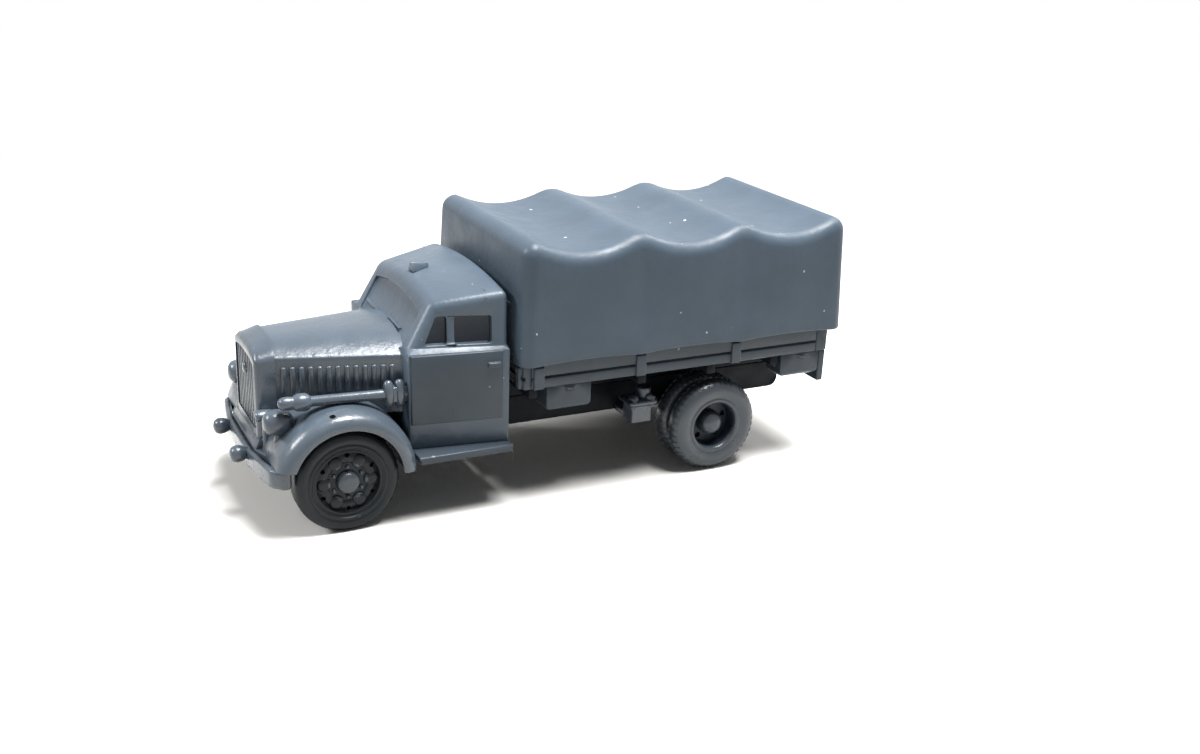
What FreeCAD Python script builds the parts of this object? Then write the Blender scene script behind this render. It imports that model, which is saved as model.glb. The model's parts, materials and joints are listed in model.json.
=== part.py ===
import FreeCAD, Part
import math
import os
from FreeCAD import Vector

# A one-piece-colour plastic kit model of a bonneted military cargo truck with a canvas-topped bed.
# Units are millimetres: +X forward, +Y to the truck's left, +Z up.
# The origin lies on the ground, below the middle of the overall length.

# Wheels and stance
wheelbase = 36.0
front_overhang = 8.5
rear_overhang = 13.45
tyre_radius = 4.55
overall_length = front_overhang + wheelbase + rear_overhang
front_x = overall_length / 2
front_axle_x = front_x - front_overhang
rear_axle_x = front_axle_x - wheelbase
axle_z = tyre_radius

# Small clearances and tool overruns
running_clearance = 0.05
side_clearance = 0.3
seat_clearance = 0.05
overrun = 1.0

# Front wheels
front_tyre_face_y = 10.0
front_tyre_width = 2.3
ring_radius = 3.15
tyre_shoulder = 0.6
front_hub_radius = 0.92
front_hub_height = 0.2
front_disc_drop = 0.55
hub_cap_thickness = 0.7
hand_hole_radius = 0.3
hand_hole_circle = 2.3
hand_hole_count = 6
hand_hole_sides = 6
hand_hole_depth = 0.3

# Rear twin wheels
rear_tyre_face_y = 10.3
rear_tyre_width = 1.95
twin_gap = 0.6
twin_groove_radius = 3.2
rear_rim_radius = 2.28
rear_rim_depth = 1.7
rear_hub_radius = 1.1
rear_hub_drop = 1.0

# Axles
stub_radius = 0.7
stub_end_gap = 0.15
beam_height = 0.9
beam_width = 0.9
kingpin_length = 1.9
kingpin_width = 1.1
rear_beam_width = 1.2
differential_radius = 1.5
differential_width = 2.3
differential_sides = 12
pinion_radius = 0.7
pinion_length = 2.2

# Chassis frame
rail_bottom_z = 5.2
rail_height = 2.8
rail_web = 0.7
rail_outer_y = 4.2
rail_channel_depth = 0.3
rail_flange = 0.45
rail_corner = 0.9
rail_rear_overhang = 10.9
rail_taper_ahead = 1.5
cross_member_width = 1.2
cross_member_height = 1.0
cross_member_setbacks = (5.8, 15.5, 25.2, 41.0, 45.5)
front_cross_setback = 2.9
spring_width = 0.8
spring_leaf = 0.22
spring_leaves = 2
front_spring_span = 8.4
rear_spring_span = 10.0
spring_camber_height = 0.95
spring_eye_width = 0.6

# Drive line
gearbox_length = 5.5
gearbox_width = 3.2
gearbox_height = 2.2
gearbox_front_setback = 3.0
gearbox_nose_radius = 0.75
shaft_radius = 0.4

# Cab
cowl_setback = 5.9
cab_length = 8.8
cab_bottom_z = 6.05
belt_z = 14.6
shoulder_height = 0.35
shoulder_front = 0.9
shoulder_rear = 0.35
roof_edge_front_z = 18.75
roof_edge_rear_z = 19.7
roof_crown_front = 0.75
roof_crown_rear = 0.8
cab_front_half = 8.35
cab_rear_half = 9.55
cab_tumblehome = 0.2
cab_wall = 0.9
screen_foot_z = 14.5
screen_foot_setback = 0.2
screen_lean = 2.25
roof_edge_chamfer = 0.35
window_recess = 0.6
window_bar_recess = 0.3
window_sill_z = 15.2
window_head_z = 17.6
window_front_foot_setback = 1.7
window_front_lean = 1.05
window_rear_setback = 1.45
window_bar_setback = 3.6
window_bar_width = 0.7
screen_recess = 0.35
screen_frame = 0.45
screen_side_frame = 1.0
screen_arch = 0.7
door_raise = 0.35
door_bottom_z = 8.4
door_top_z = 14.7
door_front_setback = 0.1
door_rear_setback = 0.65
handle_length = 1.15
handle_height = 0.45
handle_raise = 0.35
handle_drop = 1.0
marker_length = 1.9
marker_width = 1.5
marker_height = 0.55
marker_setback = 0.75

# Bonnet and radiator shell
shell_depth = 1.75
shell_face_setback = 2.35
shell_half = 4.0
shell_corner = 0.6
shell_bottom_z = 7.2
shell_edge_z = 14.25
shell_crown = 1.45
shell_step = 0.12
grille_frame = 0.75
grille_recess = 0.3
grille_thickness = 0.5
grille_slats = 9
grille_slat_groove = 0.14
emblem_radius = 0.5
emblem_raise = 0.22
emblem_drop = 1.1
bonnet_rear_half = 6.6
bonnet_edge_z = 14.15
bonnet_crown_rear = 2.2
bonnet_wall = 0.8
crown_facet_share = 0.5
crown_facet_rise_share = 0.76
bonnet_bottom_z = 9.0
bonnet_tail = 1.4
louvre_count = 13
louvre_pitch = 0.735
louvre_width = 0.36
louvre_raise = 0.2
louvre_height = 2.2
louvre_top_drop = 0.75
louvre_rear_gap = 0.6

# Front mudguards, running boards and bumper
guard_clearance = 0.5
guard_thickness = 1.2
guard_lip_clearance = 0.2
guard_outer_y = 10.5
guard_inner_y = 4.35
guard_edge_radius = 1.0
guard_centre_height = 0.1
guard_lip_thickness = 0.3
guard_bottom_z = 4.9
board_top_z = 6.05
board_thickness = 0.7
board_rear_setback = 0.15
board_edge_radius = 0.2
bumper_bottom_z = 4.65
bumper_height = 1.7
bumper_thickness = 0.6
bumper_front_setback = 1.35
bumper_centre_half = 3.9
bumper_sweep = 0.75
bumper_corner_y = 8.9
bumper_half = 9.8
bumper_corner_back = 0.9
bumper_tyre_gap = 0.2
knob_radius = 0.75
knob_y = 3.35
knob_z = 5.85

# Lamps and the stowed jack
headlamp_radius = 1.15
headlamp_length = 2.6
headlamp_x_ahead = 5.0
headlamp_y = 6.7
headlamp_stand_height = 1.2
lamp_stem_radius = 0.35
blackout_length = 1.7
blackout_width = 1.3
blackout_height = 0.95
blackout_x_ahead = 5.65
blackout_y = 4.75
blackout_stand_height = 2.35
blackout_chamfer = 0.3
jack_y = 7.6
jack_front_height = 0.65
jack_rear_height = 0.25
jack_nose_ahead = 5.2
jack_rod_radius = 0.42
jack_head_radius = 0.7
jack_tip_radius = 0.5
jack_head_length = 1.4
jack_tip_length = 1.3
jack_collar_height = 2.6
jack_collar_width = 1.15
jack_collar_thickness = 0.8
jack_collar_gap = 0.2
jack_collar_sides = 12
jack_collar_setback = 0.2

# Bed
bed_front_setback = 15.6
bed_rear_overhang = 10.6
bed_half = 10.6
floor_bottom_z = 11.0
floor_thickness = 0.6
board_plank_height = 0.96
plank_gap = 0.1
bed_board_thickness = 0.75
board_height = 2.45
stake_width = 1.0
stake_raise = 0.3
stake_setbacks = (0.9, 11.05, 21.2)
headboard_rib = 0.7
tailboard_thickness = 1.3
sill_width = 0.9
bearer_width = 0.9
bearer_height = 1.0
bearer_setbacks = (0.7, 11.6, 19.0, 26.1)
bearer_inset = 0.4

# Canvas cover
cover_wall = 0.85
cover_lip = 0.35
cover_lean = 0.4
cover_crest_z = 24.1
cover_sag = 1.15
cover_bow_inset = 1.2
cover_bays = 3
cover_crest_share = 0.2
cover_hem_z = 13.1
cover_hem_scallop = 0.22
cover_edge_radius = 0.9
cover_edge_tilts = (30, 60)

# Stowage under the bed
box_length = 4.4
box_height = 2.35
box_depth = 2.6
box_side_inset = 0.15
box_corner = 0.5
box_latch_width = 0.8
box_latch_height = 0.35
box_latch_raise = 0.2
front_box_setback = 2.35
plate_thickness = 0.7
plate_drop = 0.85
carrier_wheel_gap = 1.8
carrier_y = 7.9
carrier_length = 2.1
carrier_width = 1.9
carrier_height = 2.35
carrier_rim = 0.45
carrier_rim_height = 0.6
carrier_bottom_z = 5.45
carrier_can_radius = 0.7
carrier_can_height = 0.95
carrier_bolt_radius = 0.28
carrier_bolt_sides = 6
carrier_arm_width = 1.0
carrier_arm_height = 0.6

# Derived planes and places
cowl_x = front_axle_x - cowl_setback
cab_rear_x = cowl_x - cab_length
shell_face_x = front_x - shell_face_setback
shell_back_x = shell_face_x - shell_depth
rail_top_z = rail_bottom_z + rail_height
rail_inner_y = rail_outer_y - rail_web
rail_rear_x = rear_axle_x - rail_rear_overhang
bed_front_x = front_axle_x - bed_front_setback
bed_rear_x = rear_axle_x - bed_rear_overhang
floor_top_z = floor_bottom_z + floor_thickness
board_top_edge_z = floor_bottom_z + board_height
cover_front_x = bed_front_x + seat_clearance + cover_lip
cover_rear_x = -overall_length / 2
cover_half = bed_half + seat_clearance + cover_lip
bumper_front_x = front_x - bumper_front_setback
rail_front_x = bumper_front_x - bumper_thickness
apron_z = bumper_bottom_z + bumper_height
bore_radius = stub_radius + running_clearance
guard_z = axle_z + guard_centre_height
guard_well_radius = tyre_radius + guard_clearance
guard_outer_radius = guard_well_radius + guard_thickness
guard_lip_radius = tyre_radius + guard_lip_clearance
guard_top_z = guard_z + guard_outer_radius
box_outer_y = bed_half - box_side_inset
rear_plate_x = bed_rear_x - tailboard_thickness
rear_box_x = rear_plate_x + plate_thickness
gearbox_top_z = rail_top_z - cross_member_height
gearbox_rear_x = front_axle_x - gearbox_front_setback - gearbox_length
gearbox_nose_x = gearbox_rear_x - gearbox_nose_radius
gearbox_nose_z = gearbox_top_z - gearbox_height / 2

# Plain building blocks


def box(x0, x1, y0, y1, z0, z1):
    """Box between two corners, in any order."""
    size = (abs(x1 - x0), abs(y1 - y0), abs(z1 - z0))
    return Part.makeBox(*size, Vector(min(x0, x1), min(y0, y1), min(z0, z1)))


def rod(radius, start, end):
    """Round bar between two points."""
    start, end = Vector(*start), Vector(*end)
    return Part.makeCylinder(radius, (end - start).Length, start, end - start)


def polygon(points):
    """Closed wire through the points."""
    vectors = [Vector(*point) for point in points]
    return Part.makePolygon(vectors + vectors[:1])


def plate_xz(points, y0, y1):
    """Plate with a side outline, from one y to another."""
    face = Part.Face(polygon([(x, y0, z) for x, z in points]))
    return face.extrude(Vector(0, y1 - y0, 0))


def plate_xy(points, z0, z1):
    """Plate with a plan outline, from one z to another."""
    face = Part.Face(polygon([(x, y, z0) for x, y in points]))
    return face.extrude(Vector(0, 0, z1 - z0))


def turned(outline, centre, axis):
    """Solid of revolution of (radius, distance) points about an axis through a centre."""
    face = Part.Face(polygon([(radius, 0, along) for radius, along in outline]))
    solid = face.revolve(Vector(0, 0, 0), Vector(0, 0, 1), 360)
    turn = FreeCAD.Rotation(Vector(0, 0, 1), Vector(*axis))
    solid.Placement = FreeCAD.Placement(Vector(*centre), turn)
    return solid


def fused(pieces):
    """One solid from pieces that touch or overlap."""
    joined = pieces[0]
    if len(pieces) > 1:
        joined = joined.fuse(pieces[1:])
    return joined.removeSplitter()


def mirrored(shape):
    """The same piece on the other side of the truck."""
    return shape.mirror(Vector(0, 0, 0), Vector(0, 1, 0))


def upright_edges(shape, direction):
    """Straight edges along a direction."""
    found = []
    for edge in shape.Edges:
        if edge.Curve.TypeId == "Part::GeomLine":
            run = edge.Vertexes[-1].Point - edge.Vertexes[0].Point
            if run.Length > 0 and run.cross(Vector(*direction)).Length < run.Length * 1e-6:
                found.append(edge)
    return found


def guard_height(ahead):
    """Height of the mudguards' outer surface at a distance ahead of the front axle."""
    return guard_z + math.sqrt(guard_outer_radius ** 2 - ahead ** 2)


def guard_form(y0, y1):
    """Full round of the mudguards' outer surface between two y planes."""
    return rod(guard_outer_radius, (front_axle_x, y0, guard_z), (front_axle_x, y1, guard_z))


# Wheels


def regular(count, radius_x, radius_z, centre=(0, 0)):
    """Points of a regular outline with a number of sides, stretched to two radii."""
    points = []
    for corner in range(count):
        angle = 2 * math.pi * corner / count
        points.append((centre[0] + radius_x * math.cos(angle), centre[1] + radius_z * math.sin(angle)))
    return points


def hand_holes(low_y):
    """Ring of blind holes for the front wheel disc, from low_y outwards."""
    holes = []
    for index in range(hand_hole_count):
        turn = 2 * math.pi * (index + 0.5) / hand_hole_count
        centre = (hand_hole_circle * math.cos(turn), hand_hole_circle * math.sin(turn))
        outline = regular(hand_hole_sides, hand_hole_radius, hand_hole_radius, centre)
        holes.append(plate_xz(outline, low_y, low_y + front_tyre_width))
    return holes


def front_wheel():
    """Left front wheel on its own axis: tyre with a soft shoulder, sunk disc with hand holes and hub cap."""
    face, inner = front_tyre_face_y, front_tyre_face_y - front_tyre_width
    hub, hub_end = front_hub_radius, front_tyre_face_y + front_hub_height
    disc_y = face - front_disc_drop
    outline = [
        (ring_radius, face),
        (tyre_radius - tyre_shoulder, face),
        (tyre_radius, face - tyre_shoulder),
        (tyre_radius, inner),
        (bore_radius, inner),
        (bore_radius, hub_end - hub_cap_thickness),
        (0, hub_end - hub_cap_thickness),
        (0, hub_end),
        (hub, hub_end),
        (hub, disc_y),
        (ring_radius, disc_y),
    ]
    wheel = turned(outline, (0, 0, 0), (0, 1, 0))
    return wheel.cut(hand_holes(disc_y - hand_hole_depth))


def rear_wheel():
    """Left twin rear wheel in one piece: two tyres with a groove between, deep rim and hub boss."""
    face, width = rear_tyre_face_y, rear_tyre_width
    rim, hub, hub_end = rear_rim_radius, rear_hub_radius, rear_tyre_face_y - rear_hub_drop
    floor, inner = face - rear_rim_depth, face - 2 * width - twin_gap
    outline = [
        (rim, face),
        (tyre_radius - tyre_shoulder, face),
        (tyre_radius, face - tyre_shoulder),
        (tyre_radius, face - width),
        (twin_groove_radius, face - width),
        (twin_groove_radius, face - width - twin_gap),
        (tyre_radius, face - width - twin_gap),
        (tyre_radius, inner),
        (bore_radius, inner),
        (bore_radius, hub_end - hub_cap_thickness),
        (0, hub_end - hub_cap_thickness),
        (0, hub_end),
        (hub, hub_end),
        (hub, floor),
        (rim, floor),
    ]
    return turned(outline, (0, 0, 0), (0, 1, 0))


# Axles, springs and frame


def front_axle():
    """Beam with upright king pin blocks and the stubs that the wheels turn on."""
    shoulder = front_tyre_face_y - front_tyre_width - side_clearance
    stub_end = front_tyre_face_y + front_hub_height - hub_cap_thickness - stub_end_gap
    half, pin = beam_width / 2, kingpin_width / 2
    pieces = [box(front_axle_x - half, front_axle_x + half, -shoulder, shoulder,
                  axle_z - beam_height / 2, axle_z + beam_height / 2)]
    for side in (-1, 1):
        pieces.append(box(front_axle_x - pin, front_axle_x + pin, side * (shoulder - kingpin_width), side * shoulder,
                          axle_z - kingpin_length / 2, axle_z + kingpin_length / 2))
        pieces.append(rod(stub_radius, (front_axle_x, side * shoulder, axle_z),
                          (front_axle_x, side * stub_end, axle_z)))
    return fused(pieces)


def rear_axle():
    """Straight rear axle with a many-sided differential housing, its pinion neck and the stubs."""
    shoulder = rear_tyre_face_y - 2 * rear_tyre_width - twin_gap - side_clearance
    stub_end = rear_tyre_face_y - rear_hub_drop - hub_cap_thickness - stub_end_gap
    half = rear_beam_width / 2
    radius = differential_radius
    housing = plate_xz(regular(differential_sides, radius, radius, (rear_axle_x, axle_z)),
                       -differential_width / 2, differential_width / 2)
    pieces = [
        box(rear_axle_x - half, rear_axle_x + half, -shoulder, shoulder, axle_z - half, axle_z + half),
        housing,
        rod(pinion_radius, (rear_axle_x, 0, axle_z), (rear_axle_x + pinion_length, 0, axle_z)),
    ]
    for side in (-1, 1):
        pieces.append(rod(stub_radius, (rear_axle_x, side * shoulder, axle_z), (rear_axle_x, side * stub_end, axle_z)))
    return fused(pieces)


def leaf_spring(centre_x, span, seat_z):
    """Left stack of leaves bowed down onto its seat, with an eye block at each end."""
    y0, y1 = rail_outer_y, rail_outer_y + spring_width
    pieces = []
    radius = (span ** 2 / 4 + spring_camber_height ** 2) / (2 * spring_camber_height)
    for leaf in range(spring_leaves):
        half = span / 2 * (spring_leaves - leaf) / spring_leaves
        low = seat_z + (spring_leaves - 1 - leaf) * spring_leaf
        rise = radius - math.sqrt(radius * radius - half * half)
        lower = Part.Arc(Vector(centre_x - half, y0, low + rise), Vector(centre_x, y0, low),
                         Vector(centre_x + half, y0, low + rise)).toShape()
        upper = lower.translated(Vector(0, 0, spring_leaf))
        ends = [Part.makeLine(lower.Vertexes[i].Point, upper.Vertexes[i].Point) for i in (0, 1)]
        wire = Part.Wire(Part.__sortEdges__([lower, ends[0], upper, ends[1]]))
        pieces.append(Part.Face(wire).extrude(Vector(0, y1 - y0, 0)))
    eye_z = seat_z + (spring_leaves - 1) * spring_leaf + spring_camber_height + spring_leaf / 2
    eye = spring_eye_width / 2
    for side in (-1, 1):
        x = centre_x + side * (span / 2 - eye)
        pieces.append(box(x - eye, x + eye, y0, y1, eye_z - eye, eye_z + eye))
    return fused(pieces)


def springs(centre_x, span, seat_z):
    """The left and right springs of one axle."""
    left = leaf_spring(centre_x, span, seat_z)
    return Part.makeCompound([left, mirrored(left)])


def chassis_rail():
    """Left channel rail, its rear lower corner rounded off."""
    outline = [(rail_rear_x, rail_bottom_z), (rail_front_x, rail_bottom_z), (rail_front_x, apron_z),
               (shell_back_x, apron_z), (front_axle_x + rail_taper_ahead, rail_top_z), (rail_rear_x, rail_top_z)]
    rail = plate_xz(outline, rail_inner_y, rail_outer_y)
    corner = [edge for edge in upright_edges(rail, (0, 1, 0))
              if edge.BoundBox.XMax < rail_rear_x + rail_web and edge.BoundBox.ZMax < rail_top_z - rail_web]
    rail = rail.makeFillet(rail_corner, corner)
    channel = box(rail_rear_x + rail_corner, front_axle_x + rail_taper_ahead, rail_inner_y - overrun,
                  rail_inner_y + rail_channel_depth, rail_bottom_z + rail_flange, rail_top_z - rail_flange)
    return rail.cut([channel, bumper()])


def cross_bar(x, low):
    """One bar from rail to rail."""
    return box(x - cross_member_width / 2, x + cross_member_width / 2, -rail_inner_y, rail_inner_y,
               low, low + cross_member_height)


def cross_members():
    """Bars between the two rails: a low one at the front and the rest level with the rail tops."""
    bars = [cross_bar(front_x - front_cross_setback, rail_bottom_z)]
    for setback in cross_member_setbacks:
        bars.append(cross_bar(front_axle_x - setback, rail_top_z - cross_member_height))
    return Part.makeCompound(bars)


def gearbox():
    """Plain gearbox casting hung from a cross member, with the nose that the shaft runs from."""
    x1 = gearbox_rear_x + gearbox_length
    body = box(gearbox_rear_x, x1, -gearbox_width / 2, gearbox_width / 2,
               gearbox_top_z - gearbox_height, gearbox_top_z)
    nose = rod(gearbox_nose_radius, (gearbox_rear_x, 0, gearbox_nose_z), (gearbox_nose_x, 0, gearbox_nose_z))
    return fused([body, nose])


def drive_shaft():
    """Straight shaft from the gearbox nose to the differential's pinion."""
    return rod(shaft_radius, (gearbox_nose_x, 0, gearbox_nose_z), (rear_axle_x + pinion_length, 0, axle_z))


# Cab


def cab_section(x, share, grow):
    """Cross-section of the cab at x, where share runs from 0 at the cowl to 1 at the back wall."""
    half = cab_front_half + (cab_rear_half - cab_front_half) * share + grow
    edge_z = roof_edge_front_z + (roof_edge_rear_z - roof_edge_front_z) * share + grow
    crown = roof_crown_front + (roof_crown_rear - roof_crown_front) * share
    waist = half - shoulder_front - (shoulder_rear - shoulder_front) * share
    top, belt, soft = waist - cab_tumblehome, belt_z + grow, roof_edge_chamfer
    eave_slope = 2 * crown / top
    side = [(top - soft, edge_z + soft * eave_slope), (top, edge_z - soft), (waist, belt + shoulder_height),
            (half, belt), (half, cab_bottom_z)]
    points = side + [(-y, z) for y, z in reversed(side)]
    corners = [Vector(x, y, z) for y, z in points]
    edges = [Part.makeLine(a, b) for a, b in zip(corners, corners[1:])]
    edges.append(Part.Arc(corners[-1], Vector(x, 0, edge_z + crown), corners[0]).toShape())
    return Part.Wire(edges)


def cab_block(grow):
    """Outer form of the cab, made larger or smaller all round by grow."""
    rear_x, front = cab_rear_x - grow, cowl_x + grow
    foot = front - screen_foot_setback
    loft = Part.makeLoft([cab_section(rear_x, 1, grow), cab_section(front, 0, grow)], True, True)
    lean = screen_lean / (roof_edge_front_z - screen_foot_z)
    tall = roof_edge_rear_z + roof_crown_rear + 2 * overrun
    cutter = plate_xz([(foot, screen_foot_z), (front + overrun, screen_foot_z), (front + overrun, tall),
                       (foot - lean * (tall - screen_foot_z), tall)],
                      -cab_rear_half - 2 * overrun, cab_rear_half + 2 * overrun)
    return loft.cut(cutter)


def cab_hollow():
    """Space inside the cab's walls, with flat facets under the roof and an upright front."""
    wall, inner_z = cab_wall, cab_bottom_z - overrun
    front_x = cowl_x - screen_foot_setback - wall
    sections = []
    for x, half, inset, edge_z, crown in (
            (cab_rear_x + wall, cab_rear_half, shoulder_rear, roof_edge_rear_z, roof_crown_rear),
            (front_x, cab_front_half, shoulder_front, roof_edge_front_z, roof_crown_front)):
        waist = half - inset - cab_tumblehome - wall
        side = [(half - inset - wall, inner_z), (waist, edge_z - wall)]
        points = side + [(0, edge_z + crown - wall)] + [(-y, z) for y, z in reversed(side)]
        sections.append(polygon([(x, y, z) for y, z in points]))
    lean = screen_lean / (roof_edge_front_z - screen_foot_z)
    tall = roof_edge_rear_z + roof_crown_rear + 2 * overrun
    foot_z = screen_foot_z - wall
    behind_screen = plate_xz([(cab_rear_x, inner_z), (front_x, inner_z), (front_x, foot_z),
                              (front_x - lean * (tall - foot_z), tall), (cab_rear_x, tall)],
                             -cab_rear_half, cab_rear_half)
    return Part.makeLoft(sections, True, True).common(behind_screen)


def window_hollows():
    """Recesses of the side windows: a shallow one over all, and a deeper pane on each side of the bar."""
    foot_x = cowl_x - window_front_foot_setback
    rear = cab_rear_x + window_rear_setback
    bar = cowl_x - window_bar_setback
    back_bar = bar - window_bar_width
    front_edge = [(foot_x, window_sill_z), (foot_x - window_front_lean, window_head_z)]
    rear_edge = [(rear, window_head_z), (rear, window_sill_z)]
    outlines = (
        (window_bar_recess, front_edge + rear_edge),
        (window_recess, front_edge + [(bar, window_head_z), (bar, window_sill_z)]),
        (window_recess, [(back_bar, window_sill_z), (back_bar, window_head_z)] + rear_edge),
    )
    half = cab_rear_half + overrun
    hollows = []
    for depth, outline in outlines:
        skin = cab_block(0).cut(cab_block(-depth))
        hollows.append(plate_xz(outline, -half, half).common(skin))
    return hollows


def cab_body():
    """Hollow cab with blind side windows and windscreen, as the model is moulded."""
    body = cab_block(0).cut([cab_hollow()] + window_hollows())
    tunnel_y = rail_outer_y + seat_clearance
    tunnel = box(cab_rear_x - overrun, cowl_x + overrun, -tunnel_y, tunnel_y, cab_bottom_z - overrun, rail_top_z)
    guards = [guard_form(side * guard_inner_y, side * guard_outer_y) for side in (-1, 1)]
    return body.cut([screen_pane(), tunnel] + guards)


def screen_pane():
    """Shallow recess of the windscreen, arched along its top."""
    skin = cab_block(0).cut(cab_block(-screen_recess))
    x0, x1 = cowl_x + overrun, cowl_x - screen_lean - overrun
    top_z = roof_edge_front_z - screen_frame
    foot_half = cab_front_half - shoulder_front - screen_side_frame
    top_half = foot_half - cab_tumblehome
    foot_z = screen_foot_z + screen_frame
    corners = [Vector(x0, top_half, top_z), Vector(x0, foot_half, foot_z),
               Vector(x0, -foot_half, foot_z), Vector(x0, -top_half, top_z)]
    edges = [Part.makeLine(a, b) for a, b in zip(corners, corners[1:])]
    edges.append(Part.Arc(corners[-1], Vector(x0, 0, top_z + screen_arch), corners[0]).toShape())
    return Part.Face(Part.Wire(edges)).extrude(Vector(x1 - x0, 0, 0)).common(skin)


def door():
    """Left door panel, raised from the cab side, with its handle."""
    outer_y = cab_rear_half + overrun
    x0, x1 = cab_rear_x + door_rear_setback, cowl_x - door_front_setback
    layer = cab_block(door_raise).cut(cab_block(0))
    panel = box(x0, x1, cab_front_half - door_raise, outer_y, door_bottom_z, door_top_z).common(layer)
    handle_x = x0 + handle_length / 4
    grip_z = door_top_z - handle_drop
    grip = box(handle_x, handle_x + handle_length, 0, outer_y, grip_z - handle_height, grip_z)
    grip = grip.common(cab_block(door_raise + handle_raise).cut(cab_block(0)))
    return fused([panel, grip])


def roof_marker():
    """Small wedge on the middle of the roof, wide at its front."""
    x1 = cowl_x - screen_lean - marker_setback
    x0 = x1 - marker_length
    low = roof_edge_front_z
    high = roof_edge_rear_z + roof_crown_rear + overrun
    wedge = plate_xy([(x1, marker_width / 2), (x1, -marker_width / 2), (x0, 0)], low, high)
    return wedge.common(cab_block(marker_height).cut(cab_block(0)))


# Bonnet and front


def arched_section(x, half, low, edge_z, crown):
    """Cross-section with upright sides and a crowned top."""
    corners = [Vector(x, half, edge_z), Vector(x, half, low), Vector(x, -half, low), Vector(x, -half, edge_z)]
    edges = [Part.makeLine(a, b) for a, b in zip(corners, corners[1:])]
    edges.append(Part.Arc(corners[-1], Vector(x, 0, edge_z + crown), corners[0]).toShape())
    return Part.Wire(edges)


def bonnet_block():
    """Tapered bonnet form between the radiator shell and the cowl."""
    front_half = shell_half - shell_step
    front_crown = front_half * bonnet_crown_rear / bonnet_rear_half
    front = arched_section(shell_back_x, front_half, bonnet_bottom_z, bonnet_edge_z, front_crown)
    rear = arched_section(cowl_x, bonnet_rear_half, bonnet_bottom_z, bonnet_edge_z, bonnet_crown_rear)
    return Part.makeLoft([rear, front], True, True)


def bonnet_hollow(low):
    """Tapered space inside the bonnet's wall, its roof in flat facets below the crown."""
    crown_share = bonnet_crown_rear / bonnet_rear_half
    edge_z = bonnet_edge_z - bonnet_wall
    sections = []
    for x, outer_half in ((cowl_x, bonnet_rear_half), (shell_back_x, shell_half - shell_step)):
        half = outer_half - bonnet_wall
        crown = half * crown_share
        shares = ((1, 0), (crown_facet_share, crown_facet_rise_share), (0, 1))
        side = [(half, low)] + [(half * across, edge_z + crown * up) for across, up in shares]
        points = side + [(-y, z) for y, z in reversed(side[:-1])]
        sections.append(polygon([(x, y, z) for y, z in points]))
    return Part.makeLoft(sections, True, True)


def bonnet_side_y(x):
    """Half-width of the bonnet at x."""
    share = (shell_back_x - x) / (shell_back_x - cowl_x)
    front = shell_half - shell_step
    return front + (bonnet_rear_half - front) * share


def louvres():
    """Rows of upright louvres with sloping heads on both bonnet sides."""
    ribs = []
    top = bonnet_edge_z - louvre_top_drop
    half = louvre_width / 2
    for index in range(louvre_count):
        x = cowl_x + louvre_rear_gap + louvre_pitch * index
        for side in (-1, 1):
            wall = side * bonnet_side_y(x)
            root, crest = wall - side * bonnet_wall / 2, wall + side * louvre_raise
            outline = [(root, top), (root, top - louvre_height), (crest, top - louvre_height),
                       (crest, top - 2 * louvre_raise), (wall, top)]
            face = Part.Face(polygon([(x - half, y, z) for y, z in outline]))
            ribs.append(face.extrude(Vector(louvre_width, 0, 0)))
    return ribs


def bonnet():
    """Hollow crowned bonnet, open below, ending on the cowl, the windscreen and the mudguards."""
    rear = arched_section(cowl_x, bonnet_rear_half, bonnet_bottom_z, bonnet_edge_z, bonnet_crown_rear)
    tail = Part.Face(rear).extrude(Vector(-bonnet_tail, 0, 0))
    hollow = bonnet_hollow(bonnet_bottom_z - overrun)
    shell = bonnet_block().cut(hollow).fuse(tail.cut(cab_block(0)))
    guards = [guard_form(side * guard_inner_y, side * guard_outer_y) for side in (-1, 1)]
    return fused([shell] + louvres()).cut(guards)


def radiator_shell():
    """Crowned shell with an arched recess for the grille."""
    section = Part.Face(arched_section(shell_back_x, shell_half, shell_bottom_z, shell_edge_z, shell_crown))
    shell = section.extrude(Vector(shell_depth, 0, 0))
    shoulders = [edge for edge in upright_edges(shell, (1, 0, 0)) if edge.BoundBox.ZMin > shell_bottom_z + shell_corner]
    shell = shell.makeFillet(shell_corner, shoulders)
    opening = grille_form(0, shell_back_x - overrun, shell_face_x + overrun)
    return shell.cut(opening)


def grille_form(inset, x0, x1):
    """Arched form of the grille between two x planes."""
    half = shell_half - grille_frame - inset
    edge_z = shell_edge_z - grille_frame - inset
    face = Part.Face(arched_section(x0, half, shell_bottom_z + grille_frame + inset, edge_z,
                                    shell_crown * half / shell_half))
    return face.extrude(Vector(x1 - x0, 0, 0))


def grille():
    """Grille panel with upright slats and a plain round boss at its head."""
    x1 = shell_face_x - grille_recess
    x0 = x1 - grille_thickness
    panel = grille_form(0, x0, x1)
    half = shell_half - grille_frame
    pitch = 2 * half / (grille_slats + 1)
    grooves = []
    for index in range(grille_slats):
        y = -half + pitch * (index + 1)
        grooves.append(box(x1 - grille_slat_groove, x1 + overrun, y - pitch / 4, y + pitch / 4,
                           shell_bottom_z + 2 * grille_frame, shell_edge_z - 2 * grille_frame))
    panel = panel.cut(grooves)
    boss_z = shell_edge_z - emblem_drop
    boss = rod(emblem_radius, (x1 - grille_slat_groove, 0, boss_z), (x1 + emblem_raise, 0, boss_z))
    return fused([panel, boss])


def front_apron():
    """Block on the rail ends that the radiator shell stands on, sloping down to the bumper."""
    x1 = bumper_front_x - bumper_thickness
    slope_z = (apron_z + shell_bottom_z) / 2
    outline = [(shell_back_x, apron_z), (shell_back_x, shell_bottom_z), (shell_face_x, shell_bottom_z),
               (x1, slope_z), (x1, apron_z)]
    return plate_xz(outline, -guard_inner_y, guard_inner_y)


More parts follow.
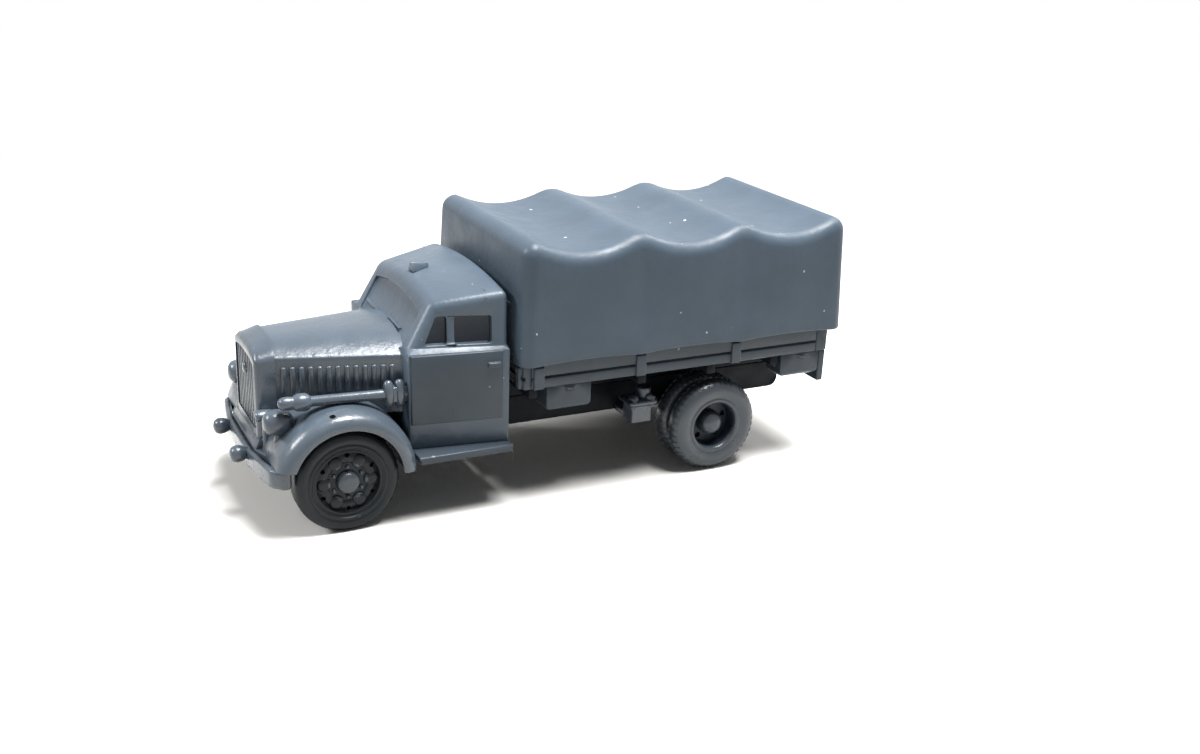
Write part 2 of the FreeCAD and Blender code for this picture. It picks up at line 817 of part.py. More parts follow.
def mudguard():
    """Left front mudguard: a rounded arch with a lipped opening around the tyre."""
    outer_y, edge = guard_outer_y, guard_edge_radius
    lip_y = outer_y - guard_lip_thickness
    outer, well, lip = guard_outer_radius, guard_well_radius, guard_lip_radius
    middle = edge * (1 - math.sqrt(0.5))
    outline = [(well, guard_inner_y), (outer, guard_inner_y), (outer, outer_y - edge),
               (outer - middle, outer_y - middle), (outer - edge, outer_y), (lip, outer_y), (lip, lip_y), (well, lip_y)]
    ring = turned(outline, (front_axle_x, 0, guard_z), (0, 1, 0))
    reach = 2 * outer
    low = guard_z - reach
    below = box(front_axle_x - reach, front_axle_x, 0, 2 * outer_y, low, guard_bottom_z)
    over_bumper = box(front_axle_x, front_axle_x + reach, 0, 2 * outer_y, low, apron_z)
    return ring.cut([below, over_bumper])


def running_board():
    """Left step board along the cab sill, from the mudguard back past the cab."""
    x0 = cab_rear_x - board_rear_setback
    x1 = front_axle_x
    bottom = board_top_z - board_thickness
    inner_y = rail_outer_y
    board = box(x0, x1, inner_y, guard_outer_y, bottom, board_top_z)
    edge = [e for e in upright_edges(board, (1, 0, 0))
            if e.BoundBox.YMin > guard_outer_y - seat_clearance and e.BoundBox.ZMin > bottom + seat_clearance]
    board = board.makeFillet(board_edge_radius, edge)
    return board.cut(guard_form(0, guard_outer_y + overrun))


def bumper():
    """Bumper bar: straight in the middle, swept back at the sides and wrapped round at the ends."""
    x_mid = bumper_front_x
    x_side = x_mid - bumper_sweep
    x_end = x_side - bumper_corner_back
    x_tip = front_axle_x + tyre_radius + bumper_tyre_gap
    tail = x_tip - bumper_thickness - overrun
    side = [(x_mid, bumper_centre_half), (x_side, bumper_corner_y), (x_end, bumper_half), (tail, bumper_half)]
    outline = side + [(x, -y) for x, y in reversed(side)]
    face = Part.Face(polygon([(x, y, bumper_bottom_z) for x, y in outline]))
    inner = face.makeOffset2D(-bumper_thickness)
    band = face.cut(inner).extrude(Vector(0, 0, bumper_height))
    return band.cut(box(tail, x_tip, -bumper_half, bumper_half, bumper_bottom_z, apron_z))


def bumper_knob(side):
    """Round-ended knob on the bumper's face."""
    length = front_x - bumper_front_x
    outline = [(0, 0), (knob_radius, 0), (knob_radius, length - knob_radius / 2),
               (knob_radius / 2, length), (0, length)]
    return turned(outline, (bumper_front_x, side * knob_y, knob_z), (1, 0, 0))


# Lamps and jack


def headlamp():
    """Left bullet-shaped headlamp, seated on the mudguard by a short stem."""
    x, z = front_axle_x + headlamp_x_ahead, guard_height(headlamp_x_ahead) + headlamp_stand_height
    r, half = headlamp_radius, headlamp_length / 2
    bullet_shares = ((0, -1), (0.6, -1), (1, 0), (1, 1), (0, 1))
    outline = [(r * across, half * along) for across, along in bullet_shares]
    bullet = turned(outline, (x, headlamp_y, z), (1, 0, 0))
    stem = rod(lamp_stem_radius, (x, headlamp_y, z), (x, headlamp_y, guard_z))
    return fused([bullet, stem]).cut(guard_form(0, guard_outer_y))


def blackout_lamp():
    """Flat hooded lamp on a stem, on the left only."""
    x, z = front_axle_x + blackout_x_ahead, guard_height(blackout_x_ahead) + blackout_stand_height
    half_x, half_y, half_z = blackout_length / 2, blackout_width / 2, blackout_height / 2
    hood = box(x - half_x, x + half_x, blackout_y - half_y, blackout_y + half_y, z - half_z, z + half_z)
    hood = hood.makeChamfer(blackout_chamfer, hood.Edges)
    stem = rod(lamp_stem_radius, (x, blackout_y, z - half_z / 2), (x, blackout_y, guard_z))
    return fused([hood, stem]).cut(guard_form(0, guard_outer_y))


def jack():
    """Stowed jack above the left mudguard: tip, round head, rod and two oval collars by the cowl."""
    nose_x = front_axle_x + jack_nose_ahead
    length = nose_x - cowl_x
    rise = jack_front_height - jack_rear_height
    run = math.hypot(length, rise)
    rod_r, head_r = jack_rod_radius, jack_head_radius
    low_z = guard_top_z + jack_rear_height
    head_end = run - jack_tip_length
    head_start, tip_r = head_end - jack_head_length, jack_tip_radius
    rod_start = jack_collar_setback + jack_collar_gap + 1.5 * jack_collar_thickness
    outline = [(0, rod_start), (rod_r, rod_start), (rod_r, head_start), (head_r, head_start), (head_r, head_end),
               (tip_r, head_end), (tip_r, run), (0, run)]
    tongue = box(cowl_x, cowl_x + rod_start, jack_y - rod_r, jack_y + rod_r, low_z - head_r, low_z + head_r)
    pieces = [tongue, turned(outline, (cowl_x, jack_y, low_z), (length, 0, rise))]
    outline = regular(jack_collar_sides, jack_collar_width / 2, jack_collar_height / 2, (jack_y, low_z))
    for index in range(2):
        x = cowl_x + jack_collar_setback + index * (jack_collar_thickness + jack_collar_gap)
        face = Part.Face(polygon([(x, y, z) for y, z in outline]))
        pieces.append(face.extrude(Vector(jack_collar_thickness, 0, 0)))
    return fused(pieces)


# Bed and cover


def bed_floor():
    """Flat bed floor inside the side boards."""
    half = bed_half - bed_board_thickness
    return box(bed_rear_x, bed_front_x - bed_board_thickness, -half, half, floor_bottom_z, floor_top_z)


def planked(board, x0, x1, y0, y1):
    """Cuts the joint line between two planks into a board."""
    z = floor_bottom_z + board_plank_height
    return board.cut(box(x0, x1, y0, y1, z, z + plank_gap))


def side_board():
    """Left drop side of two planks, with its upright stakes."""
    x0, x1 = bed_rear_x, bed_front_x - bed_board_thickness
    board = box(x0, x1, bed_half - bed_board_thickness, bed_half, floor_bottom_z, board_top_edge_z)
    board = planked(board, x0 - overrun, x1 + overrun, bed_half - plank_gap, bed_half + overrun)
    stakes = []
    for setback in stake_setbacks:
        x = bed_front_x - setback
        stakes.append(box(x - stake_width, x, bed_half, bed_half + stake_raise, floor_bottom_z,
                          cover_hem_z - seat_clearance))
    return fused([board] + stakes)


def headboard():
    """Front wall of the bed, of two planks, with upright ribs on its face."""
    x1 = bed_front_x
    x0 = x1 - bed_board_thickness
    board = box(x0, x1, -bed_half, bed_half, floor_bottom_z, board_top_edge_z)
    board = planked(board, x1 - plank_gap, x1 + overrun, -2 * bed_half, 2 * bed_half)
    ribs = []
    for side in (-1, 1):
        y = side * (bed_half - headboard_rib)
        ribs.append(box(x1, x1 + headboard_rib / 2, y - headboard_rib / 2, y + headboard_rib / 2,
                        floor_bottom_z, cover_hem_z - seat_clearance))
    return fused([board] + ribs)


def tailboard():
    """Rear board of two rounded planks behind the end of the sides."""
    x1 = bed_rear_x
    x0 = x1 - tailboard_thickness
    board = box(x0, x1, -bed_half, bed_half, floor_bottom_z, board_top_edge_z)
    return planked(board, x0 - overrun, x0 + plank_gap, -2 * bed_half, 2 * bed_half)


def bed_sills():
    """Two lengthwise bearers of the bed on the chassis rails."""
    left = box(bed_rear_x, bed_front_x - bed_board_thickness, rail_outer_y - sill_width, rail_outer_y,
               rail_top_z, floor_bottom_z - bearer_height)
    return Part.makeCompound([left, mirrored(left)])


def bed_bearers():
    """Cross bearers between the sills and the bed floor."""
    half = bed_half - bearer_inset
    bars = []
    for setback in bearer_setbacks:
        x = bed_front_x - setback
        bars.append(box(x - bearer_width, x, -half, half, floor_bottom_z - bearer_height, floor_bottom_z))
    return Part.makeCompound(bars)


def arc_between(start, end, rise):
    """Circular arc in a side view plane, from start to end, bulging up by rise."""
    middle = (start + end) / 2 + Vector(0, 0, rise)
    return Part.Arc(start, middle, end).toShape()


def cover_side_view(inset, low, y):
    """Side outline of the cover: crests over the bows and a sagging bay between each pair."""
    crest = cover_crest_z - inset
    first, last = cover_front_x - cover_bow_inset, cover_rear_x + cover_bow_inset
    half_bay = (first - last) / cover_bays / 2
    turn = 2 * math.atan2(cover_sag, half_bay)
    crest_run, crest_drop = half_bay * cover_crest_share, cover_sag * cover_crest_share
    arc_rise = (1 - math.cos(turn / 2)) * crest_run / math.sin(turn)
    sag_rise = (1 - math.cos(turn)) * (half_bay - crest_run) / math.sin(turn)
    front, rear = cover_front_x - inset, cover_rear_x + inset
    point = Vector(first, y, crest)
    edges = [Part.makeLine(Vector(front, y, crest), point)]
    for bay in range(cover_bays):
        x = first - 2 * half_bay * bay
        down = Vector(x - crest_run, y, crest - crest_drop)
        up = Vector(x - 2 * half_bay + crest_run, y, crest - crest_drop)
        after = Vector(x - 2 * half_bay, y, crest)
        edges += [arc_between(point, down, arc_rise), arc_between(down, up, -sag_rise),
                  arc_between(up, after, arc_rise)]
        point = after
    corners = [point, Vector(rear, y, crest), Vector(rear, y, low), Vector(front, y, low), Vector(front, y, crest)]
    edges += [Part.makeLine(start, end) for start, end in zip(corners, corners[1:])]
    return Part.Face(Part.Wire(edges))


def leaning_side(side):
    """Upright form with one leaning side of the cover and its two rounded corners."""
    outer, far = side * cover_half, -side * (cover_half + overrun)
    form = box(cover_rear_x, cover_front_x, outer, far, cover_hem_z - overrun, cover_crest_z + cover_half)
    corners = [edge for edge in upright_edges(form, (0, 0, 1)) if side * edge.BoundBox.Center.y > 0]
    form = form.makeFillet(cover_edge_radius, corners)
    lean = math.degrees(math.atan2(cover_lean, cover_crest_z - cover_hem_z))
    form.rotate(Vector(0, outer, cover_hem_z), Vector(1, 0, 0), side * lean)
    return form


def below_facet(side, tilt, low):
    """Space below one sloping facet along the cover's long top edge, which follows the sagging top."""
    wide = cover_half + overrun
    centre_y = cover_half - cover_lean - cover_edge_radius
    lift = cover_edge_radius / math.cos(tilt) - cover_edge_radius + (centre_y + wide) * math.tan(tilt)
    outline = cover_side_view(0, low - lift, -side * wide)
    outline.translate(Vector(0, 0, lift))
    return outline.extrude(Vector(0, side * 2 * wide, -2 * wide * math.tan(tilt)))


def cover_outside():
    """Outer form of the cover: sagging top, leaning sides and soft edges all round."""
    wide = cover_half + overrun
    form = cover_side_view(0, cover_hem_z, -wide).extrude(Vector(0, 2 * wide, 0))
    brows = [edge for edge in upright_edges(form, (0, 1, 0)) if edge.BoundBox.ZMin > cover_crest_z - seat_clearance
             and not cover_rear_x + seat_clearance < edge.BoundBox.XMin < cover_front_x - seat_clearance]
    form = form.makeFillet(cover_edge_radius, brows)
    for side in (-1, 1):
        form = form.common(leaning_side(side))
        for tilt in cover_edge_tilts:
            form = form.common(below_facet(side, math.radians(tilt), cover_hem_z))
    return form


def cover_hollow(low):
    """Space inside the cover's wall, from low upwards."""
    wide = cover_half + overrun
    side_view = cover_side_view(cover_wall, low, -wide).extrude(Vector(0, 2 * wide, 0))
    hem, brow = cover_half - cover_wall, cover_half - cover_lean - cover_wall
    outline = [(hem, low), (brow, cover_crest_z), (-brow, cover_crest_z), (-hem, low)]
    face = Part.Face(polygon([(cover_rear_x, y, z) for y, z in outline]))
    return side_view.common(face.extrude(Vector(overall_length, 0, 0)))


def hem_scallops():
    """Shallow arches that lift the cover's side hem between the stakes."""
    stations = [bed_front_x - setback for setback in stake_setbacks] + [bed_rear_x]
    cuts = []
    for front, rear in zip(stations, stations[1:]):
        half = (front - stake_width - rear) / 2
        middle = (front - stake_width + rear) / 2
        radius = (half ** 2 + cover_hem_scallop ** 2) / (2 * cover_hem_scallop)
        centre_z = cover_hem_z + cover_hem_scallop - radius
        cuts.append(rod(radius, (middle, -cover_half - overrun, centre_z), (middle, cover_half + overrun, centre_z)))
    return cuts


def canvas_cover():
    """Hollow moulded canvas cover standing on the bed boards, its hem lipped over them."""
    low = cover_hem_z - overrun
    seat_y = bed_half + seat_clearance
    seat = box(cover_rear_x + cover_wall, bed_front_x + seat_clearance, -seat_y, seat_y, low, board_top_edge_z)
    return cover_outside().cut([cover_hollow(low), seat] + hem_scallops())


# Stowage


def stowage_box(x0):
    """Left stowage box under the bed, with rounded lower corners and a latch."""
    x1 = x0 + box_length
    top = floor_bottom_z
    case = box(x0, x1, box_outer_y - box_depth, box_outer_y, top - box_height, top)
    low_edges = [edge for edge in case.Edges if edge.BoundBox.ZMax < top - box_height / 2]
    case = case.makeFillet(box_corner, low_edges)
    mid = (x0 + x1) / 2
    latch = box(mid - box_latch_width / 2, mid + box_latch_width / 2, box_outer_y, box_outer_y + box_latch_raise,
                top - box_latch_height - box_latch_raise, top - box_latch_raise)
    return fused([case, latch])


def rear_plate():
    """Upright plate across the rear end of the frame."""
    return box(rear_plate_x, rear_box_x, -box_outer_y, box_outer_y, floor_bottom_z - box_height - plate_drop,
               floor_bottom_z)


def equipment_carrier():
    """Rimmed case with a can and two bolts on top, held out from the left rail by an arm."""
    half_x, half_y = carrier_length / 2, carrier_width / 2
    x, y = rear_axle_x + tyre_radius + carrier_wheel_gap + half_x, carrier_y
    top = carrier_bottom_z + carrier_height
    case = box(x - half_x, x + half_x, y - half_y, y + half_y, carrier_bottom_z, top)
    rim = box(x - half_x - carrier_rim, x + half_x + carrier_rim, y - half_y - carrier_rim,
              y + half_y + carrier_rim, top - carrier_rim_height, top)
    rim = rim.makeChamfer(carrier_rim / 2, rim.Edges)
    can_x = x - half_x / 2
    arm = box(x - carrier_arm_width / 2, x + carrier_arm_width / 2, rail_outer_y, y,
              rail_bottom_z, rail_bottom_z + carrier_arm_height)
    pieces = [case, rim, arm, rod(carrier_can_radius, (can_x, y, top), (can_x, y, top + carrier_can_height))]
    for side in (-1, 1):
        bolt_x, bolt_y = x + side * half_x, y + half_y
        outline = regular(carrier_bolt_sides, carrier_bolt_radius, carrier_bolt_radius, (bolt_x, bolt_y))
        pieces.append(plate_xy(outline, top - carrier_rim_height, top + carrier_bolt_radius))
    return fused(pieces)


def save(name, shape):
    """Writes one piece."""
    if shape.isNull() or not shape.isValid():
        print("invalid piece:", name)
    shape.exportStep("parts/" + name + ".step")


def placed_wheel(wheel, axle_x):
    """A wheel moved to its axle."""
    return wheel.translated(Vector(axle_x, 0, axle_z))


def main():
    os.makedirs("parts", exist_ok=True)
    front = placed_wheel(front_wheel(), front_axle_x)
    rear = placed_wheel(rear_wheel(), rear_axle_x)
    front_seat = axle_z + beam_height / 2
    rear_seat = axle_z + rear_beam_width / 2
    pairs = {
        "wheel_front": front,
        "wheel_rear": rear,
        "chassis_rail": chassis_rail(),
        "door": door(),
        "mudguard": mudguard(),
        "running_board": running_board(),
        "headlamp": headlamp(),
        "side_board": side_board(),
        "stowage_box_front": stowage_box(bed_front_x - front_box_setback - box_length),
        "stowage_box_rear": stowage_box(rear_box_x),
    }
    for name, shape in pairs.items():
        save(name + "_left", shape)
        save(name + "_right", mirrored(shape))
    singles = {
        "front_axle": front_axle(),
        "rear_axle": rear_axle(),
        "front_springs": springs(front_axle_x, front_spring_span, front_seat),
        "rear_springs": springs(rear_axle_x, rear_spring_span, rear_seat),
        "cross_members": cross_members(),
        "gearbox": gearbox(),
        "drive_shaft": drive_shaft(),
        "cab_body": cab_body(),
        "roof_marker": roof_marker(),
        "bonnet": bonnet(),
        "radiator_shell": radiator_shell(),
        "grille": grille(),
        "front_apron": front_apron(),
        "bumper": bumper(),
        "bumper_knob_left": bumper_knob(1),
        "bumper_knob_right": bumper_knob(-1),
        "blackout_lamp": blackout_lamp(),
        "jack": jack(),
        "bed_floor": bed_floor(),
        "headboard": headboard(),
        "tailboard": tailboard(),
        "bed_sills": bed_sills(),
        "bed_bearers": bed_bearers(),
        "canvas_cover": canvas_cover(),
        "rear_plate": rear_plate(),
        "equipment_carrier": equipment_carrier(),
    }
    for name, shape in singles.items():
        save(name, shape)


main()
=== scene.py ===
import json
import logging
import math
from contextlib import contextmanager
from dataclasses import dataclass, field
from enum import Enum
from typing import Callable, Iterator, Sequence

import bmesh
import bpy
from mathutils import Matrix, Quaternion, Vector

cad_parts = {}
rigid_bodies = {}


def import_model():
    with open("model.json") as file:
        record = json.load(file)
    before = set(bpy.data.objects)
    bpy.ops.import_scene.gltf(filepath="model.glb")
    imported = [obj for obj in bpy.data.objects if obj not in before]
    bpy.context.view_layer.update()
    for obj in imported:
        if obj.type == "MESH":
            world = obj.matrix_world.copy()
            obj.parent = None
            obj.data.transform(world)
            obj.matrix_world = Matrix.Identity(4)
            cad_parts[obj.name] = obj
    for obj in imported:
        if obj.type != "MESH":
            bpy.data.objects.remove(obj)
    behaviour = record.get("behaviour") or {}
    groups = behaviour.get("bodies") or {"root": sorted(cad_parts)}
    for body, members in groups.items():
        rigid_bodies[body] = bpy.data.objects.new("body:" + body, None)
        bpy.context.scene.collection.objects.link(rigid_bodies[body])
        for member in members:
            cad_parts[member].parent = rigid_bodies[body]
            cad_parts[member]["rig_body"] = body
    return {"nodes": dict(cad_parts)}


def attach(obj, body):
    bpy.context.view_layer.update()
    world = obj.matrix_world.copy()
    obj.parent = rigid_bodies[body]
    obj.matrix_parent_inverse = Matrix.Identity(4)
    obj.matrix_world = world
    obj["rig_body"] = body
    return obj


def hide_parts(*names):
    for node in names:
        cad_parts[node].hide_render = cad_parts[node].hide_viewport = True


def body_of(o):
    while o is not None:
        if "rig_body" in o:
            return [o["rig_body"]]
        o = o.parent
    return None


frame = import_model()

LOG = logging.getLogger("truck")
MM = 0.001
TRUCK_BODY = "truck"
# How close two places count as one, in millimetres
NEAR = 0.01
# How close vertices are when they are joined, in metres
WELD = 0.0005 * MM
SPIN_WELD = 0.002 * MM
# Faces whose normal points lower than this look down
UNDERSIDE = -0.6
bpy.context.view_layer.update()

Piece = bpy.types.Object
Material = bpy.types.Material
Tree = bpy.types.NodeTree
Node = bpy.types.Node
Socket = bpy.types.NodeSocket
Triple = tuple[float, float, float]
Span = tuple[float, float, float, float]
Profile = Sequence[tuple[float, float]]
PlaceTest = Callable[[Vector], bool]
PairTest = Callable[[Vector, Vector], bool]


class Axis(Enum):
    """Directions of the truck's frame."""

    X = (1.0, 0.0, 0.0)
    Y = (0.0, 1.0, 0.0)
    Z = (0.0, 0.0, 1.0)

    @property
    def vector(self) -> Vector:
        """The direction as a vector."""
        return Vector(self.value)


class Side(Enum):
    """Sides of the truck, with the sign of their y."""

    LEFT = 1
    RIGHT = -1


class Part(Enum):
    """Parts of a mesh that can be picked."""

    VERTEX = "VERT"
    EDGE = "EDGE"
    FACE = "FACE"


def mm(*values: float) -> Vector:
    """Vector in metres from millimetres."""
    return Vector(value * MM for value in values)


def same(place: float, size: float) -> bool:
    """Whether a coordinate in metres lies at a size in millimetres."""
    return abs(place - size * MM) < NEAR * MM


def past(place: float, size: float) -> bool:
    """Whether a coordinate in metres has reached a size in millimetres."""
    return place > (size - NEAR) * MM


def closing_rows(half: float, count: int) -> list[float]:
    """Places across a width that draw closer together towards its two sides."""
    return [half * math.sin(index / count * math.pi / 2) for index in range(1 - count, count)]


# Modelling tools


def activate(obj: Piece) -> None:
    """Makes an object the only selected and active one."""
    bpy.ops.object.select_all(action="DESELECT")
    obj.select_set(True)
    bpy.context.view_layer.objects.active = obj


def settle(obj: Piece) -> None:
    """Applies an object's place, turn and scale to its mesh."""
    activate(obj)
    bpy.ops.object.transform_apply(location=True, rotation=True, scale=True)


def named(name: str) -> Piece:
    """Names the object just added and settles it.

    Args:
        name: the piece's name.

    Returns:
        The object.
    """
    obj = bpy.context.active_object
    obj.name = name
    settle(obj)
    return obj


@contextmanager
def editing(obj: Piece) -> Iterator[None]:
    """Edit mode on one object, with nothing selected at the start.

    Args:
        obj: the object to edit.

    Yields:
        Nothing, once the mode is on.
    """
    activate(obj)
    bpy.ops.object.mode_set(mode="EDIT")
    bpy.ops.mesh.select_mode(type="VERT")
    bpy.ops.mesh.select_all(action="DESELECT")
    yield
    bpy.ops.object.mode_set(mode="OBJECT")


def pick(part: Part, test: Callable[..., bool]) -> int:
    """Selects parts of the edited mesh that pass a test, and nothing else.

    Args:
        part: the kind of part.
        test: takes a vertex's place, an edge's two ends, or a face's centre and normal.

    Returns:
        The number of parts selected.
    """
    bpy.ops.mesh.select_mode(type=part.value)
    bpy.ops.mesh.select_all(action="DESELECT")
    data = bpy.context.edit_object.data
    mesh = bmesh.from_edit_mesh(data)
    if part is Part.VERTEX:
        found = [vertex for vertex in mesh.verts if test(vertex.co)]
    elif part is Part.EDGE:
        found = [edge for edge in mesh.edges if test(*(vertex.co for vertex in edge.verts))]
    else:
        found = [face for face in mesh.faces if test(face.calc_center_median(), face.normal)]
    for one in found:
        one.select_set(True)
    mesh.select_flush_mode()
    bmesh.update_edit_mesh(data)
    return len(found)


def outward() -> None:
    """Turns all faces of the edited mesh outwards."""
    bpy.ops.mesh.select_all(action="SELECT")
    bpy.ops.mesh.normals_make_consistent(inside=False)


def open_below() -> None:
    """Deletes the faces of the edited mesh that look down."""
    pick(Part.FACE, lambda _, normal: normal.z < UNDERSIDE)
    bpy.ops.mesh.delete(type="FACE")


def weld(distance: float) -> None:
    """Joins the vertices of the edited mesh that lie closer than a distance, and selects all."""
    bpy.ops.mesh.select_all(action="SELECT")
    bpy.ops.mesh.remove_doubles(threshold=distance)
    bpy.ops.mesh.select_all(action="SELECT")


def new_block(name: str, low: Vector, high: Vector) -> Piece:
    """Adds a cube stretched between two corners, as the start of a piece.

    Args:
        name: the piece's name.
        low: lowest corner in metres.
        high: highest corner in metres.

    Returns:
        The object, at the origin, with its place in its mesh.
    """
    bpy.ops.object.select_all(action="DESELECT")
    bpy.ops.mesh.primitive_cube_add(size=1.0, location=(low + high) / 2)
    bpy.context.active_object.scale = high - low
    return named(name)


def apply_modifier(obj: Piece, kind: str, **values: object) -> None:
    """Adds a modifier with its values and applies it.

    Args:
        obj: the piece to change.
        kind: the modifier's type.
        **values: the modifier's settings.
    """
    activate(obj)
    modifier = obj.modifiers.new(kind.title(), kind)
    for name, value in values.items():
        setattr(modifier, name, value)
    bpy.ops.object.modifier_apply(modifier=modifier.name)


def bevel(obj: Piece, width: float, segments: int = 2, angle: float = 30.0) -> None:
    """Rounds the edges sharper than an angle, width in millimetres."""
    apply_modifier(obj, "BEVEL", width=width * MM, segments=segments, limit_method="ANGLE",
                   angle_limit=math.radians(angle), use_clamp_overlap=False)


def thicken(obj: Piece, wall: float) -> None:
    """Gives an open shell its wall inwards, in millimetres."""
    apply_modifier(obj, "SOLIDIFY", thickness=wall * MM, offset=-1.0, use_even_offset=True)


def round_edges(obj: Piece, test: PairTest, width: float, segments: int = 4) -> None:
    """Rounds the edges that pass a test.

    Args:
        obj: the piece to change.
        test: takes an edge's two ends.
        width: width of the rounding in millimetres.
        segments: steps across the rounding.
    """
    with editing(obj):
        if pick(Part.EDGE, test):
            bpy.ops.mesh.bevel(offset=width * MM, segments=segments, affect="EDGES", clamp_overlap=False)


def smooth(obj: Piece, angle: float = 50.0) -> None:
    """Shades a piece smooth, apart from edges sharper than an angle."""
    activate(obj)
    bpy.ops.object.shade_smooth_by_angle(angle=math.radians(angle))


def cut_out(obj: Piece, cutter: Piece) -> None:
    """Takes a cutter's form out of a piece and deletes the cutter."""
    apply_modifier(obj, "BOOLEAN", operation="DIFFERENCE", solver="EXACT", object=cutter)
    bpy.data.objects.remove(cutter, do_unlink=True)


def slice_along(obj: Piece, axis: Axis, places: Sequence[float]) -> None:
    """Adds an edge ring at each place along an axis.

    Args:
        obj: the piece to change.
        axis: the axis.
        places: the places along it in millimetres.
    """
    with editing(obj):
        for place in places:
            bpy.ops.mesh.select_all(action="SELECT")
            bpy.ops.mesh.bisect(plane_co=axis.vector * place * MM, plane_no=axis.vector)


def nudge(test: PlaceTest, shift: Vector) -> None:
    """Moves the vertices of the edited mesh that pass a test."""
    if shift.length > 0 and pick(Part.VERTEX, test):
        bpy.ops.transform.translate(value=shift)


def stretch(test: PlaceTest, scale: Vector, centre: Vector) -> None:
    """Scales the vertices of the edited mesh that pass a test, about a centre."""
    if pick(Part.VERTEX, test):
        bpy.ops.transform.resize(value=scale, center_override=centre)


def merged_copy(node: str, name: str) -> Piece:
    """Copies a node of the frame as a piece of its own, with its loose triangles joined.

    Args:
        node: the node's name.
        name: the copy's name.

    Returns:
        The copy, with its triangles paired.
    """
    copy = bpy.data.objects.new(name, frame["nodes"][node].data.copy())
    bpy.context.scene.collection.objects.link(copy)
    copy.data.materials.clear()
    with editing(copy):
        bpy.ops.mesh.customdata_custom_splitnormals_clear()
        weld(WELD)
        bpy.ops.mesh.tris_convert_to_quads(face_threshold=math.radians(0.5), shape_threshold=math.radians(60))
    return copy


def lathe(name: str, profile: Profile, centre: Vector, axis: Axis, steps: int = 96,
          closed: bool = False) -> Piece:
    """Turns a profile about an axis, drawn point by point from one vertex.

    Args:
        name: the piece's name.
        profile: (radius, distance along the axis) in millimetres.
        centre: a point on the axis in metres.
        axis: the axis of the turn.
        steps: number of steps round the circle.
        closed: whether the profile is a loop off the axis.

    Returns:
        The closed piece.
    """
    out = Axis.X.vector if axis is Axis.Z else Axis.Z.vector
    places = [centre + out * radius * MM + axis.vector * distance * MM for radius, distance in profile]
    if closed:
        places.append(places[0])
    bpy.ops.object.select_all(action="DESELECT")
    bpy.ops.mesh.primitive_plane_add(size=MM, location=places[0])
    piece = named(name)
    with editing(piece):
        bpy.ops.mesh.select_all(action="SELECT")
        bpy.ops.mesh.merge(type="CENTER")
        for before, after in zip(places, places[1:]):
            bpy.ops.mesh.extrude_region_move(TRANSFORM_OT_translate={"value": after - before})
        weld(WELD)
        bpy.ops.mesh.spin(steps=steps, angle=2 * math.pi, center=centre, axis=axis.vector)
        weld(SPIN_WELD)
        outward()
    return piece


def copied(obj: Piece, name: str, change: Matrix) -> Piece:
    """Copies a piece with its own mesh, its faces kept outwards.

    Args:
        obj: the piece to copy.
        name: the copy's name.
        change: the copy's place and form against the piece.

    Returns:
        The copy, settled.
    """
    copy = obj.copy()
    copy.data = obj.data.copy()
    copy.name = name
    bpy.context.scene.collection.objects.link(copy)
    copy.matrix_world = change
    settle(copy)
    if change.determinant() < 0:
        with editing(copy):
            outward()
    return copy


def mirrored(obj: Piece, name: str) -> Piece:
    """Copies a piece to the other side of the truck."""
    return copied(obj, name, Matrix.Diagonal((1, -1, 1, 1)))


def joined(pieces: Sequence[Piece]) -> Piece:
    """Joins pieces into the first of them.

    Args:
        pieces: the pieces.

    Returns:
        The joined piece.
    """
    activate(pieces[0])
    for piece in pieces:
        piece.select_set(True)
    bpy.ops.object.join()
    return pieces[0]


def ring_of(obj: Piece, count: int, centre: Vector, axis: Axis) -> Piece:
    """Repeats a piece round an axis and joins the copies to it.

    Args:
        obj: the piece.
        count: how many there are in all.
        centre: a point on the axis in metres.
        axis: the axis.

    Returns:
        The ring as one piece.
    """
    turns = [Matrix.Translation(centre) @ Matrix.Rotation(2 * math.pi * index / count, 4, axis.vector)
             @ Matrix.Translation(-centre) for index in range(1, count)]
    return joined([obj] + [copied(obj, f"{obj.name}_{index}", turn) for index, turn in enumerate(turns)])


# Shader tools


# Sockets of a Mix node that mixes colours
MIX_SHARE, MIX_FIRST, MIX_SECOND, MIX_RESULT = 0, 6, 7, 2


def feed(tree: Tree, node: Node, given: dict[int | str, object]) -> None:
    """Gives inputs of a node a value or a link each.

    Args:
        tree: the material, group or world that holds the node.
        node: the node.
        given: for each input, by name or number, its value or the socket that feeds it.
    """
    for name, value in given.items():
        if isinstance(value, Socket):
            tree.links.new(value, node.inputs[name])
        else:
            node.inputs[name].default_value = value


def add_node(tree: Tree, kind: str, given: dict[int | str, object] | None = None, **settings: object) -> Node:
    """Adds a shader node with its settings and inputs.

    Args:
        tree: the material, group or world to add to.
        kind: the node's type, without its prefix.
        given: what its inputs are given, by name or number.
        **settings: the node's own options.

    Returns:
        The node.
    """
    node = tree.nodes.new(f"ShaderNode{kind}")
    for name, value in settings.items():
        setattr(node, name, value)
    feed(tree, node, given or {})
    return node


def combine(tree: Tree, operation: str, first: Socket, second: Socket) -> Socket:
    """Joins two values by a sum, a product or the like."""
    return add_node(tree, "Math", {0: first, 1: second}, operation=operation).outputs[0]


def mix_colours(tree: Tree, share: Socket, first: object, second: object) -> Socket:
    """Mixes two colours.

    Args:
        tree: the material or group to add to.
        share: how much of the second colour shows.
        first: the first colour or its socket.
        second: the second colour or its socket.

    Returns:
        The mixed colour.
    """
    node = add_node(tree, "Mix", data_type="RGBA")
    feed(tree, node, {MIX_SHARE: share, MIX_FIRST: first, MIX_SECOND: second})
    return node.outputs[MIX_RESULT]


# Finishes


